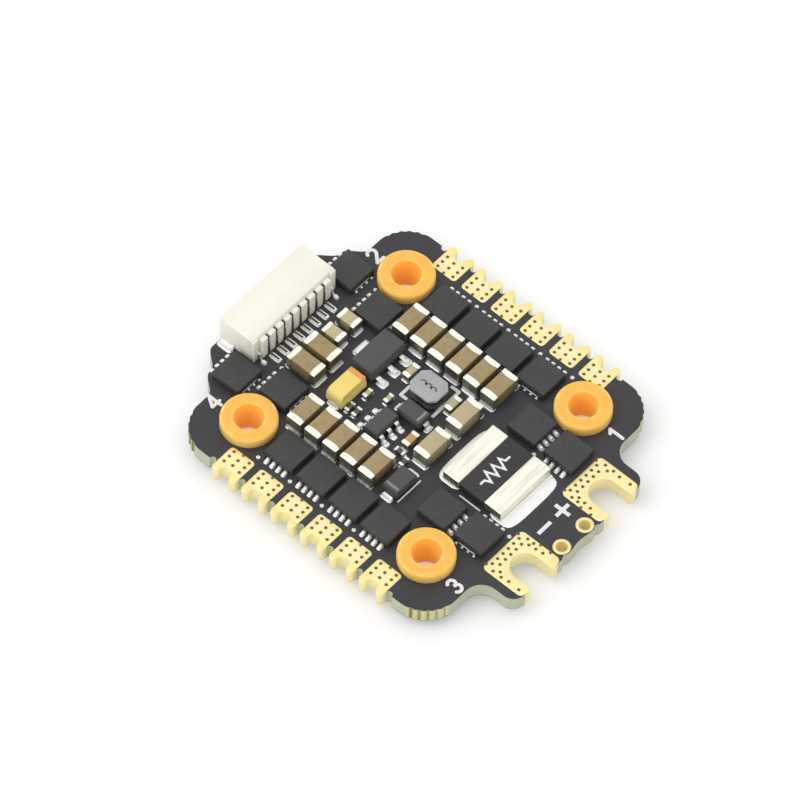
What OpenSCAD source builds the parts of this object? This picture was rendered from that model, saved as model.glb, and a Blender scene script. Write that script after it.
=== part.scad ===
// Four-in-one electronic speed controller for a small multirotor.
// Origin: centre of the four-hole stack pattern, on the plane that the grommets rest on.
// +X to the right, +Y towards the signal connector, +Z up. Millimetres.

/* [Stack mount] */
// Hole-to-hole distance of the square mounting pattern
hole_spacing = 20; // [19:0.5:24]
// Hole in the board for each grommet's neck
board_hole_d = 3.2; // [2.8:0.1:4]
// Bore of a grommet, for an M2 screw
grommet_bore_d = 2.24; // [2:0.02:2.5]
// Outside diameter of a grommet's two flanges
grommet_flange_d = 5.04; // [4.6:0.02:5.1]
// Thickness of one flange
grommet_flange_t = 1.08; // [0.86:0.02:1.4]
// Widening of the bore at each mouth
grommet_flare = 0.33; // [0.1:0.01:0.35]

/* [Board] */
// Width of the laminate between the motor pad rows
board_w = 29.5; // [29.5:0.5:36]
// Length of the board, rear edge to front edge
board_l = 36.05; // [36.05:0.5:44]
// Distance from the pattern's centre to the rear edge
rear_reach = 18.45; // [18.45:0.05:22]
// Thickness of the whole board with its masks
board_t = 1.6; // [1.2:0.1:2.4]
// Thickness of the solder mask and of the gold plating
skin_t = 0.05; // [0.03:0.01:0.08]
// Radius of the four outer corners
corner_r = 3.3; // [2.5:0.1:3.6]
// Depth of the break-off flutes in the corners
flute_depth = 0.09; // [0.02:0.01:0.2]

/* [Motor pads] */
// Distance between two motor pads' centres
motor_pad_pitch = 3.31; // [3:0.05:3.6]
// Gap between two neighbouring motor pads
motor_pad_gap = 0.64; // [0.4:0.02:1]
// How far a motor pad reaches in from the board's side
motor_pad_reach = 2.15; // [1.6:0.05:2.3]
// How far its two prongs stand out from the side
motor_pad_prong = 0.65; // [0.4:0.05:0.8]
// Radius of the half-round notch in its tip
motor_pad_notch_r = 0.55; // [0.3:0.05:0.6]

/* [Battery pads] */
// Width of a battery pad
battery_pad_w = 5.1; // [4.4:0.1:5.2]
// Length of a battery pad
battery_pad_l = 4.45; // [3.8:0.05:4.5]
// Distance of a battery pad's centre line from the middle
battery_pad_x = 5.02; // [4.9:0.02:5.3]
// Width of the wire notch
battery_notch_w = 2.74; // [2:0.02:3.2]
// Depth of the wire notch
battery_notch_l = 3.1; // [2.4:0.1:3.4]
// Distance between the capacitor's two lead holes
lead_spacing = 2.94; // [2.6:0.02:3.04]
// Diameter of a lead hole
lead_hole_d = 1.05; // [0.8:0.05:1.2]
// Outside diameter of a lead hole's ring
lead_ring_d = 1.6; // [1.5:0.05:1.65]

/* [Signal connector] */
// Number of contacts
contact_count = 8; // [4:1:9]
// Distance between two contacts
contact_pitch = 1.0; // [0.8:0.05:1.2]
// Depth of the housing, back to mouth
housing_depth = 4.2; // [3.8:0.1:4.6]
// Height of the housing
housing_h = 3; // [2.8:0.1:3.6]
// How far the mouth stands over the board's front edge
housing_overhang = 0.15; // [0:0.05:0.6]

/* [Transistors] */
// Side of a transistor's square body
fet_side = 3.1; // [2.9:0.05:3.2]
// Height of a transistor's body
fet_h = 0.8; // [0.6:0.05:0.84]
// Distance between two leads of a transistor
fet_lead_pitch = 0.65; // [0.5:0.05:0.7]
// Distance between two transistors in a side column
fet_column_pitch = 3.6; // [3.4:0.05:3.65]

/* [Large parts] */
// Length of a large ceramic capacitor
cap_l = 3.2; // [2.8:0.1:3.3]
// Width and height of a large ceramic capacitor
cap_w = 1.6; // [1.3:0.05:1.8]
// Width of the current shunt
shunt_w = 6.4; // [5.6:0.1:6.5]
// Length of the current shunt
shunt_l = 6.5; // [6:0.1:6.8]
// Height of the current shunt
shunt_h = 1; // [0.8:0.1:2]
// Height of the coil
coil_h = 1.45; // [1:0.05:2]

/* [Hidden] */
// Heights
board_z0 = grommet_flange_t;
board_z1 = board_z0 + board_t;
grommet_h = board_t + 2 * grommet_flange_t;
solder_t = 0.05;
seat_z = board_z1 + solder_t;

// Plan
hole_at = hole_spacing / 2;
side_x = board_w / 2;
front_y = board_l - rear_reach;
rear_y = -rear_reach;
waist_y = front_y - 3.15;
shoulder_y = front_y - 1.6;
rear_waist_y = rear_y + 3.9;
motor_row_y = -0.125;
motor_pad_w = motor_pad_pitch - motor_pad_gap;
prong_r = (motor_pad_w / 2 - motor_pad_notch_r) / 2;
prong_x = side_x + motor_pad_prong - prong_r;
prong_y = motor_pad_notch_r + prong_r;
flutes = 5;
flute_turn = 13;
rear_bump_x = 1.6;
rear_hollow = 0.18;

// Connector
housing_w = (contact_count - 1) * contact_pitch + 3.4;
housing_wall = 0.5;
mouth_y = front_y + housing_overhang;
housing_back_y = mouth_y - housing_depth;
ledge_depth = 0.33;
contact_t = 0.2;

// Transistors: [x, y, turn] with the leads on the local +Y side
column_x = side_x - 4.75;
bank_gap = 0.4;
bank_x = hole_at - fet_side / 2 - bank_gap - cap_l / 2;
front_fet_x = housing_w / 2 + 0.4 + fet_side / 2;
right_column_y = 5.53;
left_column_y = 5.33;
fets_1 = [
    [column_x, right_column_y - 2 * fet_column_pitch, -90],
    [column_x, right_column_y - 3 * fet_column_pitch, -90],
    [5.75, -8, 180],
    [5.8, -12, 90]
];
fets_2 = [
    [column_x, right_column_y, -90],
    [column_x, right_column_y - fet_column_pitch, -90],
    [front_fet_x, front_y - 3.62, 0],
    [5.7, 9.35, 0]
];
fets_3 = [
    [-column_x, left_column_y - 2 * fet_column_pitch, 90],
    [-column_x, left_column_y - 3 * fet_column_pitch, 90],
    [-5.75, -8, 180],
    [-5.5, -11.85, -90]
];
fets_4 = [
    [-column_x, left_column_y, 90],
    [-column_x, left_column_y - fet_column_pitch, 90],
    [-front_fet_x, front_y - 3.6, 0],
    [-5.75, 9.9, 0]
];
under_fets_1 = [for (i = [2, 3]) [column_x, right_column_y - i * fet_column_pitch, -90]];
under_fets_2 = [for (i = [0, 1]) [column_x, right_column_y - i * fet_column_pitch, -90]];
under_fets_3 = [for (i = [2, 3]) [-column_x, left_column_y - i * fet_column_pitch, 90]];
under_fets_4 = [for (i = [0, 1]) [-column_x, left_column_y - i * fet_column_pitch, 90]];

// Capacitors and resistors: [x, y, turn] with the length on the local X axis
bank_pitch = cap_w + bank_gap;
right_bank = [for (i = [0:5]) [bank_x, 6.36 - i * bank_pitch, 0]];
left_bank = [for (i = [0:4]) [-bank_x, 6.76 - i * bank_pitch, 0]];
left_bank_end_y = left_bank[4].y - cap_w / 2;
front_large = [[-2.8, 10, 90], [-0.72, 10, 90]];
front_medium = [[1.2, 10.42, 90], [3.15, 10.42, 90]];
rear_large = [[-1.77, -3.36, 0], [2.3, -3.36, 0]];
small_caps = [[2.92, 3.17, 0], [2.8, -1.67, 0], [-2.3, -1.4, 0]];
tiny_caps = [[-1.12, 4.5, 0], [-0.32, 2.84, 0]];
resistors = [[-3.1, 4.75, 0], [-3.1, 3.97, 0], [-3.6, -1.38, 90], [-4.18, -2.33, 0]];
under_caps = [for (sx = [-1, 1], sy = [-1, 1], dy = [-0.75, 0.75]) [sx * 1.3, sy * 8.6 + dy, 0]];

// Chip sizes: [length, width, height, end cap length]
large_chip = [cap_l, cap_w, cap_w, 0.5];
medium_chip = [2, 1.25, 1.25, 0.4];
small_chip = [1.6, 0.8, 0.8, 0.35];
tiny_chip = [1, 0.5, 0.5, 0.25];
resistor_chip = [1, 0.5, 0.35, 0.22];

// Current shunt
shunt_at = [0.14, -8.92];
shunt_pad_at = shunt_at - [0.14, 0.28];
shunt_pad_l = 2.8;
shunt_front_strip = 1.75;
shunt_rear_strip = 1.9;

// Semiconductors and the coil in the middle
regulator_at = [2.15, 6.25];
regulator_size = [4.5, 2.5, 1.5];
regulator_pitch = 1.5;
tantalum_at = [-2.15, 6.01];
tantalum_size = [3.25, 1.8, 1.6];
tantalum_bevel = 0.25;
coil_at = [2.4, 0.72];
coil_size = [2.6, 3.05, coil_h];
coil_cut = 0.5;
converter_at = [-2.8, 1.5];
converter_size = [2.9, 1.6, 1.1];
converter_pitch = 0.95;
rectifier_at = [-0.2, 0.1];
rectifier_size = [2.6, 1.6, 1.1];
clamp_size = [2.7, 1.75, 1];
clamp_at = [-6.1, left_bank_end_y - 0.635 - clamp_size.y / 2];

// Underside chips
controller_side = 3;
driver_side = 4;
controllers = [for (sx = [-1, 1], sy = [-1, 1]) [sx * 4.3, sy * 8.6]];
drivers = [for (sx = [-1, 1], sy = [-1, 1]) [sx * 4.2, sy * 3]];
under_chip_h = 0.8;
pin_pitch = 0.5;

// White print
print_t = 0.02;
print_w = 0.3;
fine_print_w = 0.14;
pin_dot_d = 0.36;

$fn = 48;

// ---------- shared shapes ----------

// Points of an arc about a centre, from angle a to angle b
function arc(centre, r, a, b, n) =
    [for (i = [0:n]) centre + r * [cos(a + (b - a) * i / n), sin(a + (b - a) * i / n)]];

// Points of a smooth step from p to q, level at both ends
function smooth_step(p, q, n) =
    [for (i = [0:n]) [p.x + (q.x - p.x) * i / n, p.y + (q.y - p.y) * (1 - cos(180 * i / n)) / 2]];

// Quarter circle with break-off flutes cut into the middle of it
function fluted_arc(centre, r, a, b) =
    let (n = 72, start = (b - a - flutes * flute_turn) / 2)
    [for (i = [0:n])
        let (turn = (b - a) * i / n, t = a + turn, cut = (turn - start) / flute_turn)
        let (depth = cut > 0 && cut < flutes ? flute_depth * (1 - cos(360 * cut)) / 2 : 0)
        centre + (r - depth) * [cos(t), sin(t)]];

// Hollow of a break-off edge, cut into the rear edge from x to x + w; from and to are shares of w
function rear_edge(x, w, from, to, n) =
    [for (i = [0:n])
        let (t = from + (to - from) * i / n)
        [x + t * w, rear_y + rear_hollow * (1 - cos(360 * t)) / 2]];

// Right half of the board's outline, from the rear edge round to the front edge
half_outline = concat(
    rear_edge(-rear_bump_x, 2 * rear_bump_x, 0.55, 0.95, 7),
    rear_edge(rear_bump_x, battery_pad_x - battery_pad_w / 2 - rear_bump_x, 0, 1, 10),
    arc([7.15, rear_y + 1.25], 1.25, -90, 0, 8),
    arc([10.1, rear_waist_y - 1.7], 1.7, 180, 90, 8),
    fluted_arc([side_x - corner_r, rear_waist_y + corner_r], corner_r, -90, 0),
    fluted_arc([side_x - corner_r, waist_y - corner_r], corner_r, 0, 90),
    smooth_step([10.2, waist_y], [8.4, shoulder_y], 8),
    smooth_step([8.2, shoulder_y], [6.3, front_y], 8)
);
whole_outline = concat(
    half_outline,
    [for (i = [len(half_outline) - 1:-1:0]) [-half_outline[i].x, half_outline[i].y]]
);

module mirror_halves() {
    children();
    mirror([1, 0]) children();
}

// Laminate without the motor pads' prongs; the wire notches are open
module board_outline() {
    difference() {
        polygon(whole_outline);
        battery_notches();
        motor_pad_places() motor_pad_notch();
        // round-ended slots between neighbouring motor pads
        mirror_halves() for (i = [0:6])
            translate([side_x, motor_row_y + (i - 3) * motor_pad_pitch]) circle(d = motor_pad_gap);
    }
}

module block(size, z = 0) {
    translate([-size.x / 2, -size.y / 2, z]) cube(size);
}

// Rectangle with round corners, centred
module rounded_rectangle(size, r) {
    square([size.x - 2 * r, size.y], center = true);
    square([size.x, size.y - 2 * r], center = true);
    for (sx = [-1, 1], sy = [-1, 1])
        translate([sx * (size.x / 2 - r), sy * (size.y / 2 - r)]) circle(r);
}

module slab(z0, z1) {
    translate([0, 0, z0]) linear_extrude(z1 - z0) children();
}

module on_top(places) {
    for (p = places) translate([p[0], p[1], seat_z]) rotate(p[2]) children();
}

module under_board(places) {
    for (p = places)
        translate([p[0], p[1], board_z0 - solder_t]) mirror([0, 0, 1]) rotate(p[2]) children();
}

// ---------- board, masks and plated pads ----------

// Half-round wire notch between a motor pad's two prongs, which opens outwards
module motor_pad_notch(plating = 0) {
    notch_r = motor_pad_notch_r + plating;
    translate([prong_x, 0]) circle(notch_r);
    translate([prong_x, -notch_r]) square([motor_pad_prong, 2 * notch_r]);
}

// One motor pad seen from above, tip towards +X, its outer edge drawn in by the plating
module motor_pad_shape(plating = 0) {
    inner_x = side_x - motor_pad_reach;
    width = motor_pad_w - 2 * plating;
    difference() {
        union() {
            for (sy = [-1, 1]) translate([prong_x, sy * prong_y]) circle(prong_r - plating);
            translate([side_x - 1, -width / 2]) square([prong_x - side_x + 1, width]);
            if (plating > 0)
                translate([inner_x, -motor_pad_w / 2]) square([motor_pad_reach, motor_pad_w]);
            else
                translate([(inner_x + prong_x) / 2, 0])
                    rounded_rectangle([prong_x - inner_x, width], 0.35);
        }
        motor_pad_notch(plating);
    }
}

// Gold plating of one motor pad: top, edge and underside
module motor_pad() {
    difference() {
        slab(board_z0, board_z1) motor_pad_shape();
        slab(board_z0 + skin_t, board_z1 - skin_t) motor_pad_shape(skin_t);
    }
}

// side is 1 for +X and -1 for -X, first is the lowest pad's number in the row of six
module motor_pads(side, first) {
    color("gold")
        for (i = [first:first + 2])
            mirror([side < 0 ? 1 : 0, 0])
                translate([0, motor_row_y + (i - 2.5) * motor_pad_pitch]) motor_pad();
}

module motor_pad_places() {
    mirror_halves()
        for (i = [0:5]) translate([0, motor_row_y + (i - 2.5) * motor_pad_pitch]) children();
}

// One battery pad seen from above, its notch open at the rear edge
module battery_pad_shape(plating = 0) {
    notch_r = battery_notch_w / 2 + plating;
    difference() {
        if (plating > 0)
            translate([-battery_pad_w / 2, rear_y + plating])
                square([battery_pad_w, battery_pad_l - plating]);
        else
            translate([0, rear_y + battery_pad_l / 2])
                rounded_rectangle([battery_pad_w, battery_pad_l], 0.5);
        translate([0, rear_y + battery_notch_l - battery_notch_w / 2]) circle(notch_r);
        translate([-notch_r, rear_y - 1])
            square([2 * notch_r, 1 + battery_notch_l - battery_notch_w / 2]);
    }
}

module battery_pad(side) {
    color("gold") translate([side * battery_pad_x, 0]) difference() {
        slab(board_z0, board_z1) battery_pad_shape();
        slab(board_z0 + skin_t, board_z1 - skin_t) battery_pad_shape(skin_t);
    }
}

module lead_places() {
    for (sx = [-1, 1]) translate([sx * lead_spacing / 2, rear_y + 0.85]) children();
}

module capacitor_lead_rings() {
    color("gold") lead_places() for (z = [board_z0, board_z1 - skin_t])
        slab(z, z + skin_t) difference() {
            circle(d = lead_ring_d);
            circle(d = lead_hole_d);
        }
}

module grommet_places() {
    for (sx = [-1, 1], sy = [-1, 1]) translate([sx * hole_at, sy * hole_at]) children();
}

// What the plating leaves of the laminate: the wire notches stay open
module battery_notches() {
    for (sx = [-1, 1]) translate([sx * battery_pad_x, rear_y]) {
        translate([0, battery_notch_l - battery_notch_w / 2]) circle(d = battery_notch_w);
        translate([-battery_notch_w / 2, -1])
            square([battery_notch_w, 1 + battery_notch_l - battery_notch_w / 2]);
    }
}

module board_core() {
    color("darkseagreen") difference() {
        slab(board_z0 + skin_t, board_z1 - skin_t) difference() {
            union() {
                board_outline();
                motor_pad_places() motor_pad_shape(skin_t);
            }
            motor_pad_places() motor_pad_notch(skin_t);
            grommet_places() circle(d = board_hole_d);
            lead_places() circle(d = lead_hole_d);
        }
        for (sx = [-1, 1]) battery_pad(sx);
    }
}

module solder_mask(z) {
    color([0.22, 0.22, 0.23]) slab(z, z + skin_t) difference() {
        board_outline();
        motor_pad_places() motor_pad_shape();
        for (sx = [-1, 1]) translate([sx * battery_pad_x, 0]) battery_pad_shape();
        grommet_places() circle(d = board_hole_d);
        lead_places() circle(d = lead_ring_d);
    }
}

module solder_mask_top() { solder_mask(board_z1 - skin_t); }
module solder_mask_bottom() { solder_mask(board_z0); }
module motor_1_pads() { motor_pads(1, 0); }
module motor_2_pads() { motor_pads(1, 3); }
module motor_3_pads() { motor_pads(-1, 0); }
module motor_4_pads() { motor_pads(-1, 3); }
module battery_pad_positive() { battery_pad(1); }
module battery_pad_negative() { battery_pad(-1); }

// ---------- white print ----------

module line(p, q, w = print_w) {
    v = q - p;
    translate(p) rotate(atan2(v.y, v.x)) translate([0, -w / 2]) square([norm(v), w]);
}

module print_path(points) {
    for (i = [0:len(points) - 2]) line(points[i], points[i + 1]);
    for (p = points) translate(p) circle(d = print_w);
}

// Motor numbers, drawn 1.4 high about their centres
module numeral(n) {
    if (n == 1) print_path([[-0.3, 0.4], [0.05, 0.7], [0.05, -0.7]]);
    if (n == 2) print_path(concat(arc([0, 0.3], 0.4, 160, -35, 8), [[-0.4, -0.7], [0.42, -0.7]]));
    if (n == 3) print_path(concat(
        arc([-0.02, 0.34], 0.36, 150, -80, 8), arc([-0.02, -0.32], 0.38, 80, -150, 8)));
    if (n == 4) print_path([[0.2, -0.7], [0.2, 0.7], [-0.45, -0.3], [0.45, -0.3]]);
}

// Dots beside the first lead of some transistors
pin_dots = concat(
    [for (i = [0:3]) [column_x + 2, right_column_y + 1.8 - (i + 1) * fet_column_pitch]],
    [for (i = [0:3]) [-column_x - 2, left_column_y + 1.8 - i * fet_column_pitch]],
    [[-3.95, 11.75], [7.45, 11.25], [-3.7, -13.7], [3.9, -9.8]]
);

module printed_marks() {
    color("white") slab(board_z1, board_z1 + print_t) {
        translate([10.15, rear_waist_y + 0.98]) numeral(1);
        translate([10.05, waist_y - 0.75]) numeral(2);
        translate([-10.45, rear_waist_y + 0.98]) numeral(3);
        translate([-10.4, waist_y - 0.75]) numeral(4);
        line([-1.85, -15.3], [-0.25, -15.3], 0.35);
        line([0.5, -15.25], [2.1, -15.25], 0.35);
        line([1.3, -16.05], [1.3, -14.45], 0.35);
        print_path([[2, 2.5], [0.85, 2.5], [0.85, 1.9]]);
        print_path([[1.05, -0.97], [4.38, -0.97], [4.38, -0.2]]);
        line([-7.45, clamp_at.y - 0.97], [-4.5, clamp_at.y - 0.97], fine_print_w);
        line([-3.42, shunt_pad_at.y + 1.3], [-3.42, shunt_pad_at.y - 1], fine_print_w);
        for (p = pin_dots) translate(p) circle(d = pin_dot_d);
    }
}

// ---------- grommets ----------

// Half section: flanges with round rims, a neck in the board and flared mouths
module grommet_section() {
    bore_r = grommet_bore_d / 2;
    rim_r = grommet_flange_d / 2;
    neck_r = board_hole_d / 2;
    rim = 0.3;
    polygon(concat(
        arc([bore_r + grommet_flare, grommet_flare], grommet_flare, 180, 270, 6),
        arc([rim_r - rim, rim], rim, -90, 0, 6),
        [[rim_r, board_z0], [neck_r, board_z0], [neck_r, board_z1], [rim_r, board_z1]],
        arc([rim_r - rim, grommet_h - rim], rim, 0, 90, 6),
        arc([bore_r + grommet_flare, grommet_h - grommet_flare], grommet_flare, 90, 180, 6)
    ));
}

module grommet(sx, sy) {
    color("orange")
        translate([sx * hole_at, sy * hole_at]) rotate_extrude() grommet_section();
}

module grommet_1() { grommet(1, -1); }
module grommet_2() { grommet(1, 1); }
module grommet_3() { grommet(-1, -1); }
module grommet_4() { grommet(-1, 1); }

// ---------- signal connector ----------

module contact_places() {
    for (i = [0:contact_count - 1])
        translate([(i - (contact_count - 1) / 2) * contact_pitch, 0, 0]) children();
}

// Foot on its pad, leg up the housing's back, blade through the back wall into the mouth
module contact() {
    blade_z = seat_z + 1.35;
    foot_y = housing_back_y - 1.3;
    translate([-contact_t / 2, foot_y, seat_z]) cube([contact_t, 1.3 + ledge_depth, contact_t]);
    translate([-contact_t / 2, housing_back_y, seat_z])
        cube([contact_t, ledge_depth, blade_z - seat_z + contact_t]);
    translate([-contact_t / 2, housing_back_y, blade_z])
        cube([contact_t, housing_depth - 0.9, contact_t]);
}

module connector_contacts() {
    color("silver") contact_places() contact();
}

module connector_housing() {
    body_y = housing_back_y + ledge_depth;
    cavity_y = body_y + 0.7;
    ledge_w = housing_w - 1.4;
    color("ivory") difference() {
        union() {
            translate([-housing_w / 2, body_y, board_z1])
                cube([housing_w, mouth_y - body_y, housing_h]);
            translate([-ledge_w / 2, housing_back_y, board_z1]) cube([ledge_w, ledge_depth, 2.6]);
        }
        translate([-housing_w / 2 + housing_wall, cavity_y, board_z1 + housing_wall])
            cube([housing_w - 2 * housing_wall, housing_depth, housing_h - 2 * housing_wall]);
        contact_places() translate([-contact_t / 2, housing_back_y - 1, board_z1 - 1])
            cube([contact_t, 1 + ledge_depth, housing_h + 2]);
        contact_places() contact();
    }
}

module connector_hold_downs() {
    color("silver") for (sx = [-1, 1]) mirror([sx < 0 ? 1 : 0, 0, 0])
        translate([housing_w / 2, front_y - 1.6, seat_z]) {
            cube([0.15, 1.5, 1.5]);
            cube([0.5, 1.5, 0.15]);
        }
}

// ---------- shunt ----------

module shunt_strip(y0, length) {
    translate([-shunt_w / 2, y0, seat_z]) cube([shunt_w, length, shunt_h]);
}

module shunt_terminals() {
    color([0.92, 0.91, 0.86]) translate(shunt_at) {
        shunt_strip(shunt_l / 2 - shunt_front_strip, shunt_front_strip);
        shunt_strip(-shunt_l / 2, shunt_rear_strip);
    }
}

module shunt_body() {
    y0 = -shunt_l / 2 + shunt_rear_strip;
    color([0.12, 0.12, 0.12]) translate([shunt_at.x, shunt_at.y + y0, seat_z + 0.15])
        translate([-shunt_w / 2, 0, 0])
            cube([shunt_w, shunt_l - shunt_rear_strip - shunt_front_strip, shunt_h - 0.25]);
}

// ---------- regulator, tantalum capacitor, coil, converter, diodes ----------

module regulator_body() {
    color([0.25, 0.25, 0.25])
        translate([regulator_at.x, regulator_at.y, seat_z]) block(regulator_size);
}

module regulator_leads() {
    color("silver") translate([regulator_at.x, regulator_at.y, seat_z]) {
        for (i = [-1:1])
            translate([i * regulator_pitch, -regulator_size.y / 2 - 0.45]) block([0.45, 0.9, 0.4]);
        translate([0, regulator_size.y / 2 + 0.45]) block([1.7, 0.9, 0.4]);
    }
}

// The bevel runs up the end away from the polarity stripe
module tantalum_capacitor_body() {
    half_l = tantalum_size.x / 2;
    color("gold") translate([tantalum_at.x, tantalum_at.y + tantalum_size.y / 2, seat_z + 0.1])
        rotate([90, 0, 0]) linear_extrude(tantalum_size.y) polygon([
            [-half_l, 0], [half_l, 0], [half_l, tantalum_size.z - 0.1],
            [-half_l + tantalum_bevel, tantalum_size.z - 0.1],
            [-half_l, tantalum_size.z - 0.1 - tantalum_bevel]
        ]);
}

module tantalum_capacitor_terminals() {
    color("silver") translate([tantalum_at.x, tantalum_at.y, seat_z])
        for (sx = [-1, 1]) {
            translate([sx * (tantalum_size.x / 2 + 0.05), 0]) block([0.1, 1.2, 0.9]);
            translate([sx * (tantalum_size.x / 2 - 0.4), 0]) block([0.8, 1.2, 0.1]);
        }
}

// Octagonal drum: two flanges on a narrower core
module coil_outline(size, cut) {
    x = size.x / 2;
    y = size.y / 2;
    polygon([
        [x, y - cut], [x - cut, y], [cut - x, y], [-x, y - cut],
        [-x, cut - y], [cut - x, -y], [x - cut, -y], [x, cut - y]
    ]);
}

module coil_body() {
    flange = 0.3;
    color([0.63, 0.63, 0.65]) translate([coil_at.x, coil_at.y, seat_z + 0.05]) {
        slab(0, flange) coil_outline(coil_size, coil_cut);
        slab(flange, coil_h - 0.05 - flange)
            coil_outline([coil_size.x - 0.5, coil_size.y - 0.5], coil_cut);
        slab(coil_h - 0.05 - flange, coil_h - 0.05) coil_outline(coil_size, coil_cut);
    }
}

module coil_terminals() {
    color("silver") translate([coil_at.x, coil_at.y, seat_z])
        for (sy = [-1, 1]) translate([0, sy * (coil_size.y / 2 - 0.4)]) block([1.5, 0.7, 0.05]);
}

module converter_body() {
    color([0.25, 0.25, 0.25]) translate([converter_at.x, converter_at.y, seat_z + 0.05])
        block([converter_size.x, converter_size.y, converter_size.z - 0.05]);
}

// Gull-wing lead standing out along +Y: shoulder, knee and foot
module gull_lead(w, shoulder_z, reach) {
    translate([-w / 2, 0, shoulder_z]) cube([w, reach * 0.45, 0.15]);
    translate([-w / 2, reach * 0.45 - 0.15, 0]) cube([w, 0.15, shoulder_z + 0.15]);
    translate([-w / 2, reach * 0.45, 0]) cube([w, reach * 0.55, 0.15]);
}

module converter_leads() {
    color("silver") translate([converter_at.x, converter_at.y, seat_z])
        for (i = [-1:1], turn = [0, 180]) rotate(turn)
            translate([i * converter_pitch, converter_size.y / 2]) gull_lead(0.4, 0.5, 0.6);
}

module rectifier_diode_body() {
    color([0.3, 0.3, 0.3]) translate([rectifier_at.x, rectifier_at.y, seat_z + 0.05])
        rotate(90) block([rectifier_size.x, rectifier_size.y, rectifier_size.z - 0.05]);
}

module rectifier_diode_leads() {
    color("silver") translate([rectifier_at.x, rectifier_at.y, seat_z])
        for (turn = [0, 180]) rotate(turn)
            translate([0, rectifier_size.x / 2]) gull_lead(0.6, 0.45, 0.5);
}

module clamp_diode_body() {
    color([0.3, 0.3, 0.3]) translate([clamp_at.x, clamp_at.y, seat_z]) block(clamp_size);
}

module clamp_diode_leads() {
    color("silver") translate([clamp_at.x, clamp_at.y, seat_z])
        for (sx = [-1, 1]) translate([sx * (clamp_size.x / 2 + 0.2), 0]) block([0.4, 1, 0.2]);
}

// ---------- transistors ----------

module fet_body() {
    block([fet_side, fet_side, fet_h]);
}

// Four short leads on the +Y side and the drain's four stubs on the other
module fet_leads() {
    for (i = [-1.5:1:1.5]) translate([i * fet_lead_pitch, 0]) {
        translate([0, fet_side / 2 + 0.1]) block([0.32, 0.2, 0.25]);
        translate([0, -fet_side / 2 - 0.04]) block([0.32, 0.08, 0.25]);
    }
}

module fet_pads() {
    for (i = [-1.5:1:1.5])
        translate([i * fet_lead_pitch, fet_side / 2 + 0.24, -solder_t]) block([0.4, 0.68, solder_t]);
    translate([0, -fet_side / 2 + 0.3, -solder_t]) block([2.4, 0.8, solder_t]);
}

module transistors(top, below) {
    color([0.24, 0.24, 0.24]) {
        on_top(top) fet_body();
        under_board(below) fet_body();
    }
}

module transistor_leads(top, below) {
    color("silver") {
        on_top(top) fet_leads();
        under_board(below) fet_leads();
    }
}

module motor_1_transistors() { transistors(fets_1, under_fets_1); }
module motor_2_transistors() { transistors(fets_2, under_fets_2); }
module motor_3_transistors() { transistors(fets_3, under_fets_3); }
module motor_4_transistors() { transistors(fets_4, under_fets_4); }
module motor_1_transistor_leads() { transistor_leads(fets_1, under_fets_1); }
module motor_2_transistor_leads() { transistor_leads(fets_2, under_fets_2); }
module motor_3_transistor_leads() { transistor_leads(fets_3, under_fets_3); }
module motor_4_transistor_leads() { transistor_leads(fets_4, under_fets_4); }

// ---------- chip capacitors and resistors ----------

// chip is [length, width, height, end cap length]
module chip_body(chip) {
    block([chip[0] - 2 * chip[3], chip[1] - 0.06, chip[2] - 0.06], 0.03);
}

module chip_ends(chip) {
    for (sx = [-1, 1])
        translate([sx * (chip[0] - chip[3]) / 2, 0]) block([chip[3], chip[1], chip[2]]);
}

module chip_pads(chip, beyond = 0.2) {
    for (sx = [-1, 1])
        translate([sx * ((chip[0] - chip[3] + beyond) / 2), 0, -solder_t])
            block([chip[3] + beyond, chip[1], solder_t]);
}

module brown_bodies(places, chip) { color([0.66, 0.56, 0.43]) on_top(places) chip_body(chip); }
module tin_ends(places, chip) { color([0.92, 0.9, 0.82]) on_top(places) chip_ends(chip); }

module right_bank_capacitors() { brown_bodies(right_bank, large_chip); }
module right_bank_terminals() { tin_ends(right_bank, large_chip); }
module left_bank_capacitors() { brown_bodies(left_bank, large_chip); }
module left_bank_terminals() { tin_ends(left_bank, large_chip); }
module rear_capacitors() { brown_bodies(rear_large, large_chip); }
module rear_capacitor_terminals() { tin_ends(rear_large, large_chip); }

module front_capacitors() {
    brown_bodies(front_large, large_chip);
    brown_bodies(front_medium, medium_chip);
}

module front_capacitor_terminals() {
    tin_ends(front_large, large_chip);
    tin_ends(front_medium, medium_chip);
}

module small_capacitors() {
    brown_bodies(small_caps, small_chip);
    brown_bodies(tiny_caps, tiny_chip);
}

module small_capacitor_terminals() {
    tin_ends(small_caps, small_chip);
    tin_ends(tiny_caps, tiny_chip);
}

module chip_resistors() { color([0.15, 0.15, 0.15]) on_top(resistors) chip_body(resistor_chip); }
module chip_resistor_terminals() { tin_ends(resistors, resistor_chip); }

module underside_capacitors() {
    color([0.66, 0.56, 0.43]) under_board(under_caps) chip_body(tiny_chip);
}

module underside_capacitor_terminals() {
    color([0.92, 0.9, 0.82]) under_board(under_caps) chip_ends(tiny_chip);
}

// ---------- underside control chips ----------

module flat_chips(places, side) {
    color([0.2, 0.2, 0.2]) under_board([for (p = places) [p.x, p.y, 0]])
        block([side, side, under_chip_h]);
}

module flat_chip_pads(side, pins) {
    for (turn = [0:90:270], i = [0:pins - 1])
        rotate(turn) translate([(i - (pins - 1) / 2) * pin_pitch, side / 2, -solder_t])
            block([0.26, 0.6, solder_t]);
}

module microcontrollers() { flat_chips(controllers, controller_side); }
module gate_drivers() { flat_chips(drivers, driver_side); }

// ---------- soldered pads ----------

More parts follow.
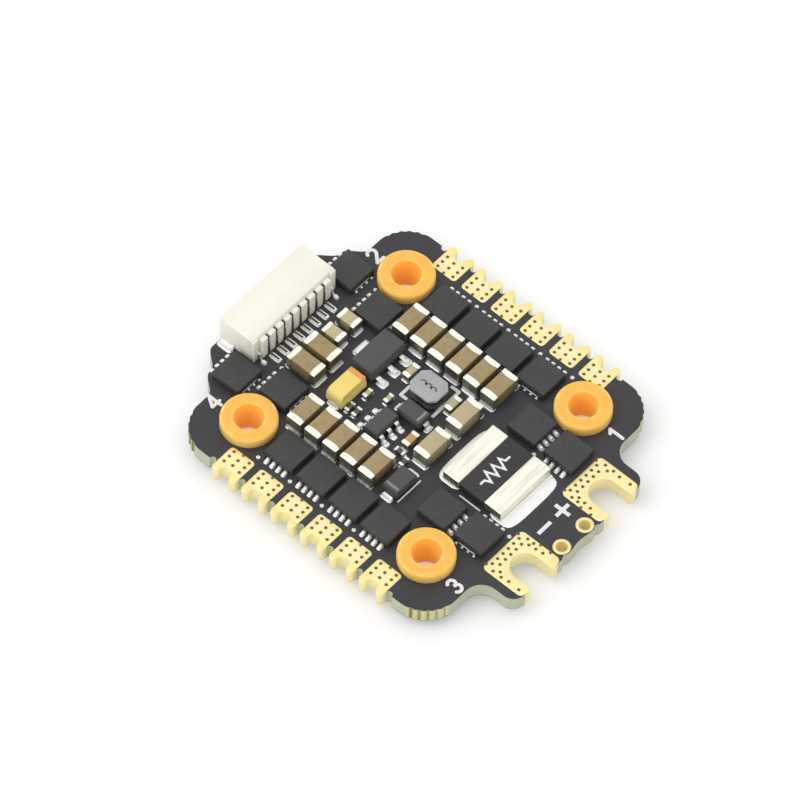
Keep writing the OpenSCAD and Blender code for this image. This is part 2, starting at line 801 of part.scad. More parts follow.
module solder_pads_top() {
    color([0.85, 0.85, 0.8]) {
        on_top(concat(fets_1, fets_2, fets_3, fets_4)) fet_pads();
        on_top(concat(right_bank, left_bank, front_large, rear_large)) chip_pads(large_chip);
        on_top(front_medium) chip_pads(medium_chip);
        on_top(small_caps) chip_pads(small_chip, 0.12);
        on_top(tiny_caps) chip_pads(tiny_chip, 0.12);
        on_top(resistors) chip_pads(resistor_chip, 0.05);
        translate([0, 0, seat_z - solder_t]) {
            // under the shunt's two strips
            for (sy = [-1, 1])
                translate(shunt_pad_at + [0, sy * (shunt_l / 2 + 1 - shunt_pad_l / 2)])
                    block([shunt_w + 0.2, shunt_pad_l, solder_t]);
            // regulator
            for (i = [-1:1]) translate([regulator_at.x + i * regulator_pitch,
                regulator_at.y - regulator_size.y / 2 - 0.6]) block([0.9, 1, solder_t]);
            translate([regulator_at.x, regulator_at.y + regulator_size.y / 2 + 0.5])
                block([1.9, 1, solder_t]);
            // tantalum capacitor
            for (sx = [-1, 1])
                translate([tantalum_at.x + sx * (tantalum_size.x / 2 - 0.25), tantalum_at.y])
                    block([1.1, 1.3, solder_t]);
            // coil
            for (sy = [-1, 1]) translate([coil_at.x, coil_at.y + sy * (coil_size.y / 2 - 0.4)])
                block([1.6, 0.8, solder_t]);
            // converter
            for (i = [-1:1], sy = [-1, 1]) translate([converter_at.x + i * converter_pitch,
                converter_at.y + sy * (converter_size.y / 2 + 0.55)]) block([0.55, 0.75, solder_t]);
            // diodes
            for (sy = [-1, 1])
                translate([rectifier_at.x, rectifier_at.y + sy * (rectifier_size.x / 2 + 0.35)])
                    block([0.9, 0.5, solder_t]);
            for (sx = [-1, 1]) translate([clamp_at.x + sx * (clamp_size.x / 2 + 0.3), clamp_at.y])
                block([0.6, 1.2, solder_t]);
            // connector
            contact_places() translate([0, housing_back_y - 0.7]) block([0.6, 1.3, solder_t]);
            for (sx = [-1, 1]) translate([sx * (housing_w / 2 + 0.35), front_y - 0.85])
                block([0.7, 1.6, solder_t]);
        }
    }
}

module solder_pads_bottom() {
    color([0.85, 0.85, 0.8]) {
        under_board(concat(under_fets_1, under_fets_2, under_fets_3, under_fets_4)) fet_pads();
        under_board(under_caps) chip_pads(tiny_chip, 0.1);
        under_board([for (p = controllers) [p.x, p.y, 0]]) flat_chip_pads(controller_side, 4);
        under_board([for (p = drivers) [p.x, p.y, 0]]) flat_chip_pads(driver_side, 6);
    }
}

board_core();
solder_mask_top();
solder_mask_bottom();
motor_1_pads();
motor_2_pads();
motor_3_pads();
motor_4_pads();
battery_pad_positive();
battery_pad_negative();
capacitor_lead_rings();
printed_marks();
grommet_1();
grommet_2();
grommet_3();
grommet_4();
connector_housing();
connector_contacts();
connector_hold_downs();
shunt_body();
shunt_terminals();
regulator_body();
regulator_leads();
tantalum_capacitor_body();
tantalum_capacitor_terminals();
coil_body();
coil_terminals();
converter_body();
converter_leads();
rectifier_diode_body();
rectifier_diode_leads();
clamp_diode_body();
clamp_diode_leads();
motor_1_transistors();
motor_2_transistors();
motor_3_transistors();
motor_4_transistors();
motor_1_transistor_leads();
motor_2_transistor_leads();
motor_3_transistor_leads();
motor_4_transistor_leads();
right_bank_capacitors();
right_bank_terminals();
left_bank_capacitors();
left_bank_terminals();
front_capacitors();
front_capacitor_terminals();
rear_capacitors();
rear_capacitor_terminals();
small_capacitors();
small_capacitor_terminals();
chip_resistors();
chip_resistor_terminals();
solder_pads_top();
microcontrollers();
gate_drivers();
underside_capacitors();
underside_capacitor_terminals();
solder_pads_bottom();
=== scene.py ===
import math

import bmesh
import bpy
from mathutils import Matrix, Vector


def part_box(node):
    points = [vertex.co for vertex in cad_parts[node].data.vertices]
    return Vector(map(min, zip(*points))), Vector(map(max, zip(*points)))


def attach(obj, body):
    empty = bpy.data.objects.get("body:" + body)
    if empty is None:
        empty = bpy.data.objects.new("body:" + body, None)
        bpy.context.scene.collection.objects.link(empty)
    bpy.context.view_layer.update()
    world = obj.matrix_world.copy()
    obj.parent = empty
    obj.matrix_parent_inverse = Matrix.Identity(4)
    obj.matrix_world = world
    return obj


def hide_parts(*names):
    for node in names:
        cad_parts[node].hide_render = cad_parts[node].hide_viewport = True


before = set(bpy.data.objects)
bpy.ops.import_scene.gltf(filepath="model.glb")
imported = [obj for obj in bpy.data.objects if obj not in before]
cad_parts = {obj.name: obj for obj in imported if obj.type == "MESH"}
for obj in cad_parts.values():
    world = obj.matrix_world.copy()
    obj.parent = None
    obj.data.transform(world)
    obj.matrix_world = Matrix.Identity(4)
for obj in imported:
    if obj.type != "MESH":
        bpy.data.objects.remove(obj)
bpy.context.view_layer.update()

# ---- Camera ----
# A long lens looks down on the board's corner from behind the battery end.
# Bearing, height and roll are of the camera itself; it aims at the middle of the parts.
scene = bpy.context.scene
scene.view_settings.view_transform = "Standard"

camera_bearing = math.radians(219.69)
camera_height = math.radians(56.118)
camera_roll = math.radians(2.36)
camera_distance = 0.6603
camera_aim = Vector((-0.00006, 0.0018, 0.00359))

away = Vector((
    math.cos(camera_height) * math.cos(camera_bearing),
    math.cos(camera_height) * math.sin(camera_bearing),
    math.sin(camera_height),
))
level_right = Vector((-math.sin(camera_bearing), math.cos(camera_bearing), 0))
level_up = away.cross(level_right)
right = level_right * math.cos(camera_roll) + level_up * math.sin(camera_roll)
camera_axes = Matrix((right, away.cross(right), away)).transposed().to_4x4()
camera_data = bpy.data.cameras.new("camera")
camera_data.lens = 351.75
camera_data.sensor_width = 36
camera_data.clip_start = 0.01
camera = bpy.data.objects.new("camera", camera_data)
camera.matrix_world = Matrix.Translation(camera_aim + away * camera_distance) @ camera_axes
scene.collection.objects.link(camera)
scene.camera = camera

# ---- Studio ----
# A white table under a pale sky with one wide lamp overhead. The table and the sky
# show as white behind the object, and the table keeps the object's soft shadow.
sky_level = 0.84
lamp_power = 0.75
table_paint = 0.74
table_lift = 0.28
table_reach = 3


def add_node(tree, kind, inputs, **settings):
    """Adds a shader node; each input takes a plain value or another node's socket."""
    node = tree.nodes.new("ShaderNode" + kind)
    for setting, value in settings.items():
        setattr(node, setting, value)
    for label, value in inputs.items():
        if isinstance(value, bpy.types.NodeSocket):
            tree.links.new(value, node.inputs[label])
        else:
            node.inputs[label].default_value = value
    return node


def white_to_camera(tree):
    """A socket that is 1 for what the camera sees directly, in gloss or through glass."""
    rays = add_node(tree, "LightPath", {}).outputs
    seen = rays["Is Camera Ray"]
    for name in ("Is Glossy Ray", "Is Transmission Ray"):
        seen = add_node(tree, "Math", {0: seen, 1: rays[name]}, operation="MAXIMUM").outputs[0]
    return seen


world = bpy.data.worlds.new("pale_sky")
world.use_nodes = True
scene.world = world
sky_tree = world.node_tree
sky = sky_tree.nodes["Background"].inputs
sky["Color"].default_value = (1, 1, 1, 1)
sky_strength = add_node(sky_tree, "MapRange", {"Value": white_to_camera(sky_tree), "To Min": sky_level})
sky_tree.links.new(sky_strength.outputs["Result"], sky["Strength"])

lamp_data = bpy.data.lights.new("overhead_lamp", "AREA")
lamp_data.size = 0.35
lamp_data.energy = lamp_power
lamp = bpy.data.objects.new("overhead_lamp", lamp_data)
lamp.location = (-0.26, 0.12, 0.42)
lamp.rotation_euler = (-lamp.location).to_track_quat("-Z", "Y").to_euler()
scene.collection.objects.link(lamp)

table_mesh = bpy.data.meshes.new("table")
table_corners = [(table_reach * x, table_reach * y, 0) for x, y in ((-1, -1), (1, -1), (1, 1), (-1, 1))]
table_mesh.from_pydata(table_corners, [], [(0, 1, 2, 3)])
table = bpy.data.objects.new("table", table_mesh)
scene.collection.objects.link(table)
table_paper = bpy.data.materials.new("table_paper")
table_paper.use_nodes = True
paper_tree = table_paper.node_tree
paper = paper_tree.nodes["Principled BSDF"].inputs
paper["Base Color"].default_value = (table_paint, table_paint, table_paint, 1)
paper["Roughness"].default_value = 1
paper["Specular IOR Level"].default_value = 0
paper["Emission Color"].default_value = (1, 1, 1, 1)
paper_lift = add_node(paper_tree, "Math", {0: white_to_camera(paper_tree), 1: table_lift},
                      operation="MULTIPLY")
paper_tree.links.new(paper_lift.outputs[0], paper["Emission Strength"])
table_mesh.materials.append(table_paper)

# ---- Bare laminate ----
# Glass cloth pressed in epoxy, 1.5 mm thick. Its sawn and routed edge shows all round
# the board as a pale green-grey band, with the glass plies running along it.


def tint(red, green, blue):
    """A colour from its 0 to 255 display values, as the shader wants it."""
    linear = []
    for value in (red, green, blue):
        share = value / 255
        linear.append(share / 12.92 if share <= 0.04045 else ((share + 0.055) / 1.055) ** 2.4)
    return (*linear, 1)


def new_group(name, inputs, output, kind):
    """A shader node group with one output; returns it, what it is given and its output socket."""
    group = bpy.data.node_groups.new(name, "ShaderNodeTree")
    for label, input_kind in inputs:
        group.interface.new_socket(name=label, in_out="INPUT", socket_type="NodeSocket" + input_kind)
    group.interface.new_socket(name=output, in_out="OUTPUT", socket_type="NodeSocket" + kind)
    given = group.nodes.new("NodeGroupInput").outputs
    return group, given, group.nodes.new("NodeGroupOutput").inputs[output]


def object_place(tree):
    """The object's own coordinates."""
    return add_node(tree, "TexCoord", {}).outputs["Object"]


def cloudy(tree, place, scale, detail):
    """Noise over a place."""
    return add_node(tree, "TexNoise", {"Vector": place, "Scale": scale, "Detail": detail}).outputs["Fac"]


def mapped(tree, value, low, high, to_low=0, to_high=1):
    """A value taken from between low and high to between to_low and to_high."""
    sockets = {"Value": value, "From Min": low, "From Max": high, "To Min": to_low, "To Max": to_high}
    return add_node(tree, "MapRange", sockets).outputs["Result"]


def mixed(tree, share, one, other):
    """A colour that goes from one to the other as share goes from 0 to 1."""
    sockets = {"Factor": share, "A": one, "B": other}
    return add_node(tree, "Mix", sockets, data_type="RGBA").outputs["Result"]


# Mottle: two tints drift into each other, with a finer speckle on top
mottle, given, gives = new_group(
    "Mottle",
    [("Light", "Color"), ("Dark", "Color"), ("Scale", "Float"), ("Spread", "Float")],
    "Colour", "Color",
)
blotch = cloudy(mottle, object_place(mottle), given["Scale"], 5)
ramp_ends = []
for sign in (-0.5, 0.5):
    ramp_end = add_node(mottle, "Math", {0: given["Spread"], 1: sign, 2: 0.5}, operation="MULTIPLY_ADD")
    ramp_ends.append(ramp_end.outputs[0])
share = mapped(mottle, blotch, *ramp_ends)
mottle.links.new(mixed(mottle, share, given["Dark"], given["Light"]), gives)

# Edge tint: corners take a lighter tint, partly rubbed by handling, partly a painted highlight, as round the
# silicone rims and ferrite flange edges
edge_wear_and_glint, given, gives = new_group(
    "Edge_wear_and_glint",
    [("Colour", "Color"), ("Worn_and_lit", "Color"), ("Start", "Float"), ("Full", "Float")],
    "Colour", "Color",
)
corner = add_node(edge_wear_and_glint, "NewGeometry", {}).outputs["Pointiness"]
rub_and_glint = mapped(edge_wear_and_glint, corner, given["Start"], given["Full"])
edge_wear_and_glint.links.new(mixed(edge_wear_and_glint, rub_and_glint, given["Colour"], given["Worn_and_lit"]), gives)

# Smudge: gloss wanders between two roughnesses
smudge, given, gives = new_group(
    "Smudge",
    [("Scale", "Float"), ("Glossy", "Float"), ("Dull", "Float")],
    "Roughness", "Float",
)
smear = cloudy(smudge, object_place(smudge), given["Scale"], 3)
smudge.links.new(mapped(smudge, smear, 0.35, 0.65, given["Glossy"], given["Dull"]), gives)

# Grain: a fine even tooth for moulded, plated and printed faces
grain, given, gives = new_group("Grain", [("Scale", "Float")], "Height", "Float")
grain.links.new(cloudy(grain, object_place(grain), given["Scale"], 6), gives)

# Streak: noise drawn out along some axes, for plies, brush lines and ceramic layers
streaks, given, gives = new_group(
    "Streak",
    [("Colour", "Color"), ("Tint", "Color"), ("Stretch", "Vector"), ("Scale", "Float"),
     ("Low", "Float"), ("High", "Float"), ("Amount", "Float")],
    "Colour", "Color",
)
drawn_out = add_node(streaks, "Mapping", {"Vector": object_place(streaks), "Scale": given["Stretch"]})
drawn_noise = cloudy(streaks, drawn_out.outputs["Vector"], given["Scale"], 4)
share = mapped(streaks, drawn_noise, given["Low"], given["High"], 0, given["Amount"])
streaks.links.new(mixed(streaks, share, given["Colour"], given["Tint"]), gives)

# Side shade: faces that stand up from the board take a duller, darker tint than level ones: painted shade
side_shade, given, gives = new_group(
    "Side shade",
    [("Colour", "Color"), ("Side", "Color"), ("Amount", "Float")],
    "Colour", "Color",
)
face_way = add_node(side_shade, "NewGeometry", {}).outputs["Normal"]
face_parts = add_node(side_shade, "SeparateXYZ", {"Vector": face_way}).outputs
levelness = add_node(side_shade, "Math", {0: face_parts["Z"]}, operation="ABSOLUTE").outputs[0]
share = mapped(side_shade, levelness, 0.8, 0.3, 0, given["Amount"])
side_shade.links.new(mixed(side_shade, share, given["Colour"], given["Side"]), gives)


def lay_over(made, group, values):
    """Puts a colour group between a material's colour and its shader."""
    tree = made.node_tree
    base = tree.nodes["Principled BSDF"].inputs["Base Color"]
    laid = add_node(tree, "Group", {**values, "Colour": base.links[0].from_socket}, node_tree=group)
    tree.links.new(laid.outputs["Colour"], base)


def streak(made, stretch, scale, streak_colour, low=0.45, high=0.65, amount=1.0):
    """Lays drawn-out streaks of another tint over a material's colour."""
    lay_over(made, streaks, {"Tint": tint(*streak_colour), "Stretch": stretch, "Scale": scale,
                             "Low": low, "High": high, "Amount": amount})


def paint_side_shade(made, side_colour, amount):
    """Paints shade on the faces that stand up from the board."""
    lay_over(made, side_shade, {"Side": tint(*side_colour), "Amount": amount})


def finish(name, light, dark, patch=1500, spread=0.5, gloss=(0.4, 0.6), metal=0, tooth_scale=9000,
           tooth_depth=0.02, worn_and_lit=None, wear_and_glint_span=(0.52, 0.62)):
    """A material with mottled colour, wandering gloss and a fine tooth, its depth in millimetres."""
    made = bpy.data.materials.new(name)
    made.use_nodes = True
    tree = made.node_tree
    shader = tree.nodes["Principled BSDF"].inputs
    shader["Metallic"].default_value = metal
    colour = add_node(tree, "Group", {"Light": tint(*light), "Dark": tint(*dark), "Scale": patch,
                                      "Spread": spread}, node_tree=mottle)
    tree.links.new(colour.outputs["Colour"], shader["Base Color"])
    if worn_and_lit:
        lay_over(made, edge_wear_and_glint, {"Worn_and_lit": tint(*worn_and_lit), "Start": wear_and_glint_span[0], "Full": wear_and_glint_span[1]})
    smears = add_node(tree, "Group", {"Scale": patch, "Glossy": gloss[0], "Dull": gloss[1]},
                      node_tree=smudge)
    tree.links.new(smears.outputs["Roughness"], shader["Roughness"])
    teeth = add_node(tree, "Group", {"Scale": tooth_scale}, node_tree=grain)
    bump = add_node(tree, "Bump", {"Distance": 0.001 * tooth_depth, "Height": teeth.outputs["Height"]})
    tree.links.new(bump.outputs["Normal"], shader["Normal"])
    return made


def dress(node_name, made):
    """Gives a CAD node that stays in view its finish."""
    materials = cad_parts[node_name].data.materials
    materials.clear()
    materials.append(made)


laminate = finish("glass_laminate", (204, 207, 186), (188, 193, 166), patch=900, spread=0.6,
                  gloss=(0.45, 0.7), tooth_depth=0.03)
streak(laminate, (1, 1, 14), 700, (164, 171, 140), 0.5, 0.7, 0.5)

# The break-off flutes round each corner are a yellower green, with painted shade darkest down in their
# hollows
flute_tint = tint(218, 216, 160)
hollow_shade = tint(112, 106, 48)
corner_centre = (0.01145, 0.0112, 0)
flutes_start, flutes_full = 0.01878, 0.01888
hollow_start, hollow_full = 0.00329, 0.003225
board_tree = laminate.node_tree
board_base = board_tree.nodes["Principled BSDF"].inputs["Base Color"]


def measured(operation, inputs, output):
    """A vector sum in the laminate's material."""
    return add_node(board_tree, "VectorMath", inputs, operation=operation).outputs[output]


one_quarter = measured("ABSOLUTE", {0: object_place(board_tree)}, "Vector")
level_place = measured("MULTIPLY", {0: one_quarter, 1: (1, 1, 0)}, "Vector")
out_diagonally = measured("DOT_PRODUCT", {0: level_place, 1: (0.7071, 0.7071, 0)}, "Value")
from_corner = measured("DISTANCE", {0: level_place, 1: corner_centre}, "Value")
in_flutes = mapped(board_tree, out_diagonally, flutes_start, flutes_full)
near_corner = mapped(board_tree, from_corner, hollow_start, hollow_full)
in_hollow_shade = add_node(board_tree, "Math", {0: near_corner, 1: in_flutes}, operation="MULTIPLY").outputs[0]
fluted = mixed(board_tree, in_flutes, board_base.links[0].from_socket, flute_tint)
board_tree.links.new(mixed(board_tree, in_hollow_shade, fluted, hollow_shade), board_base)
dress("board_core", laminate)

# ---- Solder mask ----
# A black lacquer 50 microns thick, screened on both faces and opened over every pad.
# It dries to an even satin, slightly thicker in some places than in others.
mask_black = finish("black_solder_mask", (54, 53, 58), (44, 43, 48), patch=380, spread=0.5,
                    gloss=(0.42, 0.55), tooth_scale=3500, tooth_depth=0.012)
for side in ("solder_mask_top", "solder_mask_bottom"):
    dress(side, mask_black)

# ---- White print ----
# Screened white ink: motor numbers, battery signs, part outlines and first-lead dots.
# It stands 20 microns proud and is slightly uneven where the screen left it thin.
white_ink = finish("white_print", (246, 246, 246), (222, 222, 222), patch=4500, spread=0.4,
                   gloss=(0.55, 0.75), tooth_depth=0.01)
dress("printed_marks", white_ink)

# ---- Motor pads ----
# Twelve forked solder lands, gold over nickel on copper. Each is plated over the board's
# edge and round its wire notch, and stitched to the inner copper by nine small vias.
mm = 0.001
via_r = 0.16
pad_edge = 0.05
gold = finish("gold_plating", (252, 238, 168), (246, 227, 146), patch=700, spread=0.7,
              gloss=(0.34, 0.46), metal=0.6, tooth_scale=5000, tooth_depth=0.012,
              worn_and_lit=(255, 247, 205), wear_and_glint_span=(0.53, 0.7))
# A lighter, less metallic copy of the gold for the pads' walls and via bores: painted reflection of the
# white table.
gold_wall_reflection = finish("gold_wall_painted_reflection", (253, 244, 196), (248, 234, 168), patch=900, spread=0.7,
                   gloss=(0.34, 0.5), metal=0.35, tooth_scale=5000, tooth_depth=0.012)
# One dark finish: painted shadow inside the open vias, and the black resin that plugs the filled ones.
via_shade_and_plug = finish("via_shadow_and_plug", (122, 104, 48), (92, 78, 38), patch=5000, gloss=(0.5, 0.7))


def islands(node_name):
    """The separate solids of a CAD node, each as a list of mesh faces in millimetres."""
    source = bmesh.new()
    source.from_mesh(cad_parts[node_name].data)
    bmesh.ops.scale(source, vec=(1 / mm, 1 / mm, 1 / mm), verts=source.verts)
    bmesh.ops.remove_doubles(source, verts=source.verts, dist=0.0005)
    groups = []
    seen = set()
    for first in source.faces:
        if first in seen:
            continue
        group = []
        waiting = [first]
        seen.add(first)
        while waiting:
            face = waiting.pop()
            group.append(face)
            for vert in face.verts:
                for other in vert.link_faces:
                    if other not in seen:
                        seen.add(other)
                        waiting.append(other)
        groups.append(group)
    return source, groups


def box_of(node_name):
    """Lowest and highest corner of a whole CAD node, in millimetres."""
    return [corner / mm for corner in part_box(node_name)]


def solids(node_name):
    """Lowest and highest corner of each solid in a CAD node, in millimetres."""
    source, groups = islands(node_name)
    boxes = []
    for group in groups:
        points = [vert.co for face in group for vert in face.verts]
        low = Vector([min(p[axis] for p in points) for axis in range(3)])
        high = Vector([max(p[axis] for p in points) for axis in range(3)])
        boxes.append((low, high))
    source.free()
    return boxes


def top_outlines(node_name):
    """The outer edge of each solid's flat top, as rings of (x, y) in millimetres."""
    source, groups = islands(node_name)
    rings = []
    for group in groups:
        top = max(vert.co.z for face in group for vert in face.verts)
        flat = {f for f in group if f.normal.z > 0.99 and abs(f.calc_center_median().z - top) < 0.01}
        rim = [e for f in flat for e in f.edges if sum(g in flat for g in e.link_faces) == 1]
        after = {}
        for edge in rim:
            face = next(g for g in edge.link_faces if g in flat)
            verts = list(face.verts)
            for here, there in zip(verts, verts[1:] + verts[:1]):
                if {here, there} == set(edge.verts):
                    after[here] = there
        start = next(iter(after))
        ring = [start]
        while after[ring[-1]] is not start:
            ring.append(after[ring[-1]])
        rings.append([Vector((v.co.x, v.co.y)) for v in ring])
    source.free()
    return rings


def drawn_in(ring, inset):
    """A ring moved inwards by a small inset; the ring runs anticlockwise."""
    moved = []
    for i, point in enumerate(ring):
        before = (point - ring[i - 1]).normalized()
        after = (ring[(i + 1) % len(ring)] - point).normalized()
        inward = Vector((-(before.y + after.y), before.x + after.x))
        if inward.length < 0.01:
            inward = Vector((-before.y, before.x))
        lean = max(0.5, inward.length / 2)
        moved.append(point + inward.normalized() * inset / lean)
    return moved


def circle_ring(centre, radius, steps=14):
    """Points evenly round a circle, anticlockwise."""
    turn = 2 * math.pi / steps
    return [Vector((centre[0] + radius * math.cos(i * turn), centre[1] + radius * math.sin(i * turn)))
            for i in range(steps)]


def paint(faces, colour):
    """Gives faces one of their piece's materials."""
    for face in faces:
        face.material_index = colour


def skin(mesh, rings, colour=0, ends=True):
    """Joins rings of as many vertices, each to the next, and closes both ends with a face."""
    made = []
    for ring, following in zip(rings, rings[1:]):
        for i in range(len(ring)):
            j = (i + 1) % len(ring)
            made.append(mesh.faces.new([ring[i], ring[j], following[j], following[i]]))
    if ends:
        made.append(mesh.faces.new(list(reversed(rings[0]))))
        made.append(mesh.faces.new(rings[-1]))
    paint(made, colour)
    return made


def plate(mesh, ring, holes, z_low, z_high, edge, colour=0, wall_colour=None):
    """A flat plate with softened rims and through holes, added to a bmesh."""
    levels = [(0, z_high - edge), (0, z_low + edge)]
    if edge > 0:
        soft = edge * 0.3
        levels = [(edge, z_high), (soft, z_high - soft), (0, z_high - edge),
                  (0, z_low + edge), (soft, z_low + soft), (edge, z_low)]
    walls = []
    for inset, z in levels:
        moved = drawn_in(ring, inset) if inset else ring
        walls.append([mesh.verts.new((p.x, p.y, z)) for p in moved])
    hole_walls = [[[mesh.verts.new((p.x, p.y, z)) for p in hole] for z in (z_high, z_low)]
                  for hole in holes]
    made = []
    for stack, flip in [(walls, False)] + [(pair, True) for pair in hole_walls]:
        for above, below in zip(stack, stack[1:]):
            for i in range(len(above)):
                j = (i + 1) % len(above)
                corners = [above[i], below[i], below[j], above[j]]
                if flip:
                    corners.reverse()
                made.append(mesh.faces.new(corners))
    for level, up in ((0, 1), (-1, -1)):
        rims = [walls[level]] + [pair[level] for pair in hole_walls]
        edges = [mesh.edges.get((rim[i], rim[(i + 1) % len(rim)])) for rim in rims for i in range(len(rim))]
        filled = bmesh.ops.triangle_fill(mesh, edges=edges, use_beauty=True, normal=(0, 0, up))
        for face in filled["geom"]:
            if isinstance(face, bmesh.types.BMFace):
                if face.normal.z * up < 0:
                    face.normal_flip()
                made.append(face)
    for face in made:
        side_on = wall_colour is not None and abs(face.normal.z) < 0.1
        face.material_index = wall_colour if side_on else colour


def spot(mesh, centre, radius, z, steps=14):
    """A thin dark disc lying on a face."""
    face = mesh.faces.new([mesh.verts.new((p.x, p.y, z)) for p in circle_ring(centre, radius, steps)])
    face.material_index = 1
    return face


def open_via(mesh, where, low, high):
    """A dark floor just inside both ends of a plated hole, painted shadow for its shaded bore; returns the
    ring to cut for it.
    """
    for z in (high.z - 0.03, low.z + 0.03):
        spot(mesh, where, via_r * 1.1, z)
    return circle_ring(where, via_r)


def filled_via(mesh, where, radius, low, high):
    """A dark dot on both faces, where a plated hole is filled."""
    for z in (high.z + 0.003, low.z - 0.003):
        spot(mesh, where, radius, z)


def make_piece(name, mesh, finishes, stands_for, angle=35):
    """Turns a bmesh drawn in millimetres into a piece that rides on the board."""
    bmesh.ops.scale(mesh, vec=(mm, mm, mm), verts=mesh.verts)
    data = bpy.data.meshes.new(name)
    mesh.to_mesh(data)
    mesh.free()
    for made in finishes:
        data.materials.append(made)
    data.shade_smooth()
    data.set_sharp_from_angle(angle=math.radians(angle))
    piece = bpy.data.objects.new(name, data)
    scene.collection.objects.link(piece)
    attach(piece, "root")
    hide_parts(*stands_for)
    return piece


for motor in (1, 2, 3, 4):
    pad_mesh = bmesh.new()
    node = f"motor_{motor}_pads"
    for (low, high), ring in zip(solids(node), top_outlines(node)):
        middle = (low.y + high.y) / 2
        side = 1 if low.x > 0 else -1
        inner = min(abs(low.x), abs(high.x))
        holes = []
        for row_y, columns in ((0.85, (0.35, 0.95, 1.6)), (0, (0.8, 1.45)), (-0.87, (0.35, 0.95, 1.6))):
            for reach in columns:
                holes.append(open_via(pad_mesh, (side * (inner + reach), middle + row_y), low, high))
        plate(pad_mesh, ring, holes, low.z, high.z, pad_edge, 0, 2)
        filled_via(pad_mesh, (side * (inner + 0.12), middle), via_r * 0.9, low, high)
    make_piece(f"motor_{motor}_pad_plating", pad_mesh, [gold, via_shade_and_plug, gold_wall_reflection], [node])

# ---- Battery pads ----
# Two broad plated forks that take the pack leads. Rows of vias run along the inner edge
# and down both legs, carrying the current to every copper layer.
for sign_name, side in (("positive", 1), ("negative", -1)):
    node = f"battery_pad_{sign_name}"
    (low, high), = solids(node)
    ring, = top_outlines(node)
    centre = (low.x + high.x) / 2
    pad_mesh = bmesh.new()
    spots = [(-1.75 + 0.68 * i, -0.42) for i in range(6)]
    spots += [(-1.45 + 0.68 * i, -0.95) for i in range(5)]
    spots += [(-2.2, -1.0), (-2.2, -1.65), (-1.82, -1.45), (-1.9, -2.15), (-1.98, -2.85)]
    spots += [(2.15, -0.95), (1.82, -1.45), (2.15, -1.85), (2.05, -2.6), (2.1, -3.75)]
    holes = [open_via(pad_mesh, (centre + side * across, high.y + down), low, high)
             for across, down in spots]
    plate(pad_mesh, ring, holes, low.z, high.z, pad_edge, 0, 2)
    for across, down in ((-2.05, -0.08), (2.0, -0.06), (-2.46, -2.2), (-2.46, -3.3)):
        filled_via(pad_mesh, (centre + side * across, high.y + down), via_r * 0.95, low, high)
    make_piece(f"battery_{sign_name}_plating", pad_mesh, [gold, via_shade_and_plug, gold_wall_reflection],
               [node])

# ---- Capacitor lead eyelets ----
# Two plated holes between the battery pads for a smoothing capacitor's leads: a gold ring
# on each face, joined by a plated barrel through the board.


def turned(mesh, centre, profile, steps=48):
    """A ring of revolution about an upright axis from (radius, height) points."""
    turn = 2 * math.pi / steps
    rings = []
    for i in range(steps):
        cos, sin = math.cos(i * turn), math.sin(i * turn)
        rings.append([mesh.verts.new((centre[0] + r * cos, centre[1] + r * sin, z)) for r, z in profile])
    skin(mesh, rings + rings[:1], ends=False)


eyelet_gold = finish("eyelet_gold", (252, 238, 176), (242, 222, 150), patch=1600, spread=0.6,
                     gloss=(0.35, 0.5), metal=0.3, tooth_scale=4000, tooth_depth=0.02)
eyelet_mesh = bmesh.new()
board_low, board_high = box_of("capacitor_lead_rings")
board_middle = (board_low.z + board_high.z) / 2
for low, high in solids("capacitor_lead_rings"):
    if low.z < board_low.z + 0.1:
        continue
    centre = ((low.x + high.x) / 2, (low.y + high.y) / 2)
    rim_r = (high.x - low.x) / 2
    bore_r = rim_r - 0.3
    top = board_high.z
    bottom = board_low.z
    turned(eyelet_mesh, centre, [
        (bore_r, top - 0.08), (bore_r + 0.02, top - 0.02), (bore_r + 0.08, top),
        (rim_r - 0.06, top), (rim_r, top - 0.04), (rim_r, top - 0.05), (bore_r + 0.04, top - 0.06),
        (bore_r + 0.04, bottom + 0.06), (rim_r, bottom + 0.05), (rim_r, bottom + 0.04),
        (rim_r - 0.06, bottom), (bore_r + 0.08, bottom), (bore_r + 0.02, bottom + 0.02),
        (bore_r, bottom + 0.08),
    ])
make_piece("capacitor_lead_eyelets", eyelet_mesh, [eyelet_gold],
           ["capacitor_lead_rings"])

# ---- Grommets ----
# Four orange silicone bushes pressed into the corner holes: a flange above and below,
# a neck in the board and a flared bore for the mounting screw.
# The lighter tint round each flange's rounded rim is a painted highlight.
silicone = finish("orange_silicone", (255, 190, 88), (255, 182, 76), patch=500, spread=0.5,
                  gloss=(0.42, 0.55), tooth_scale=2600, tooth_depth=0.02,
                  worn_and_lit=(255, 210, 132), wear_and_glint_span=(0.51, 0.56))
bore_silicone = finish("bore_silicone", (255, 190, 88), (255, 180, 76), patch=500, spread=0.5,
                       gloss=(0.5, 0.65), tooth_scale=2600, tooth_depth=0.02)
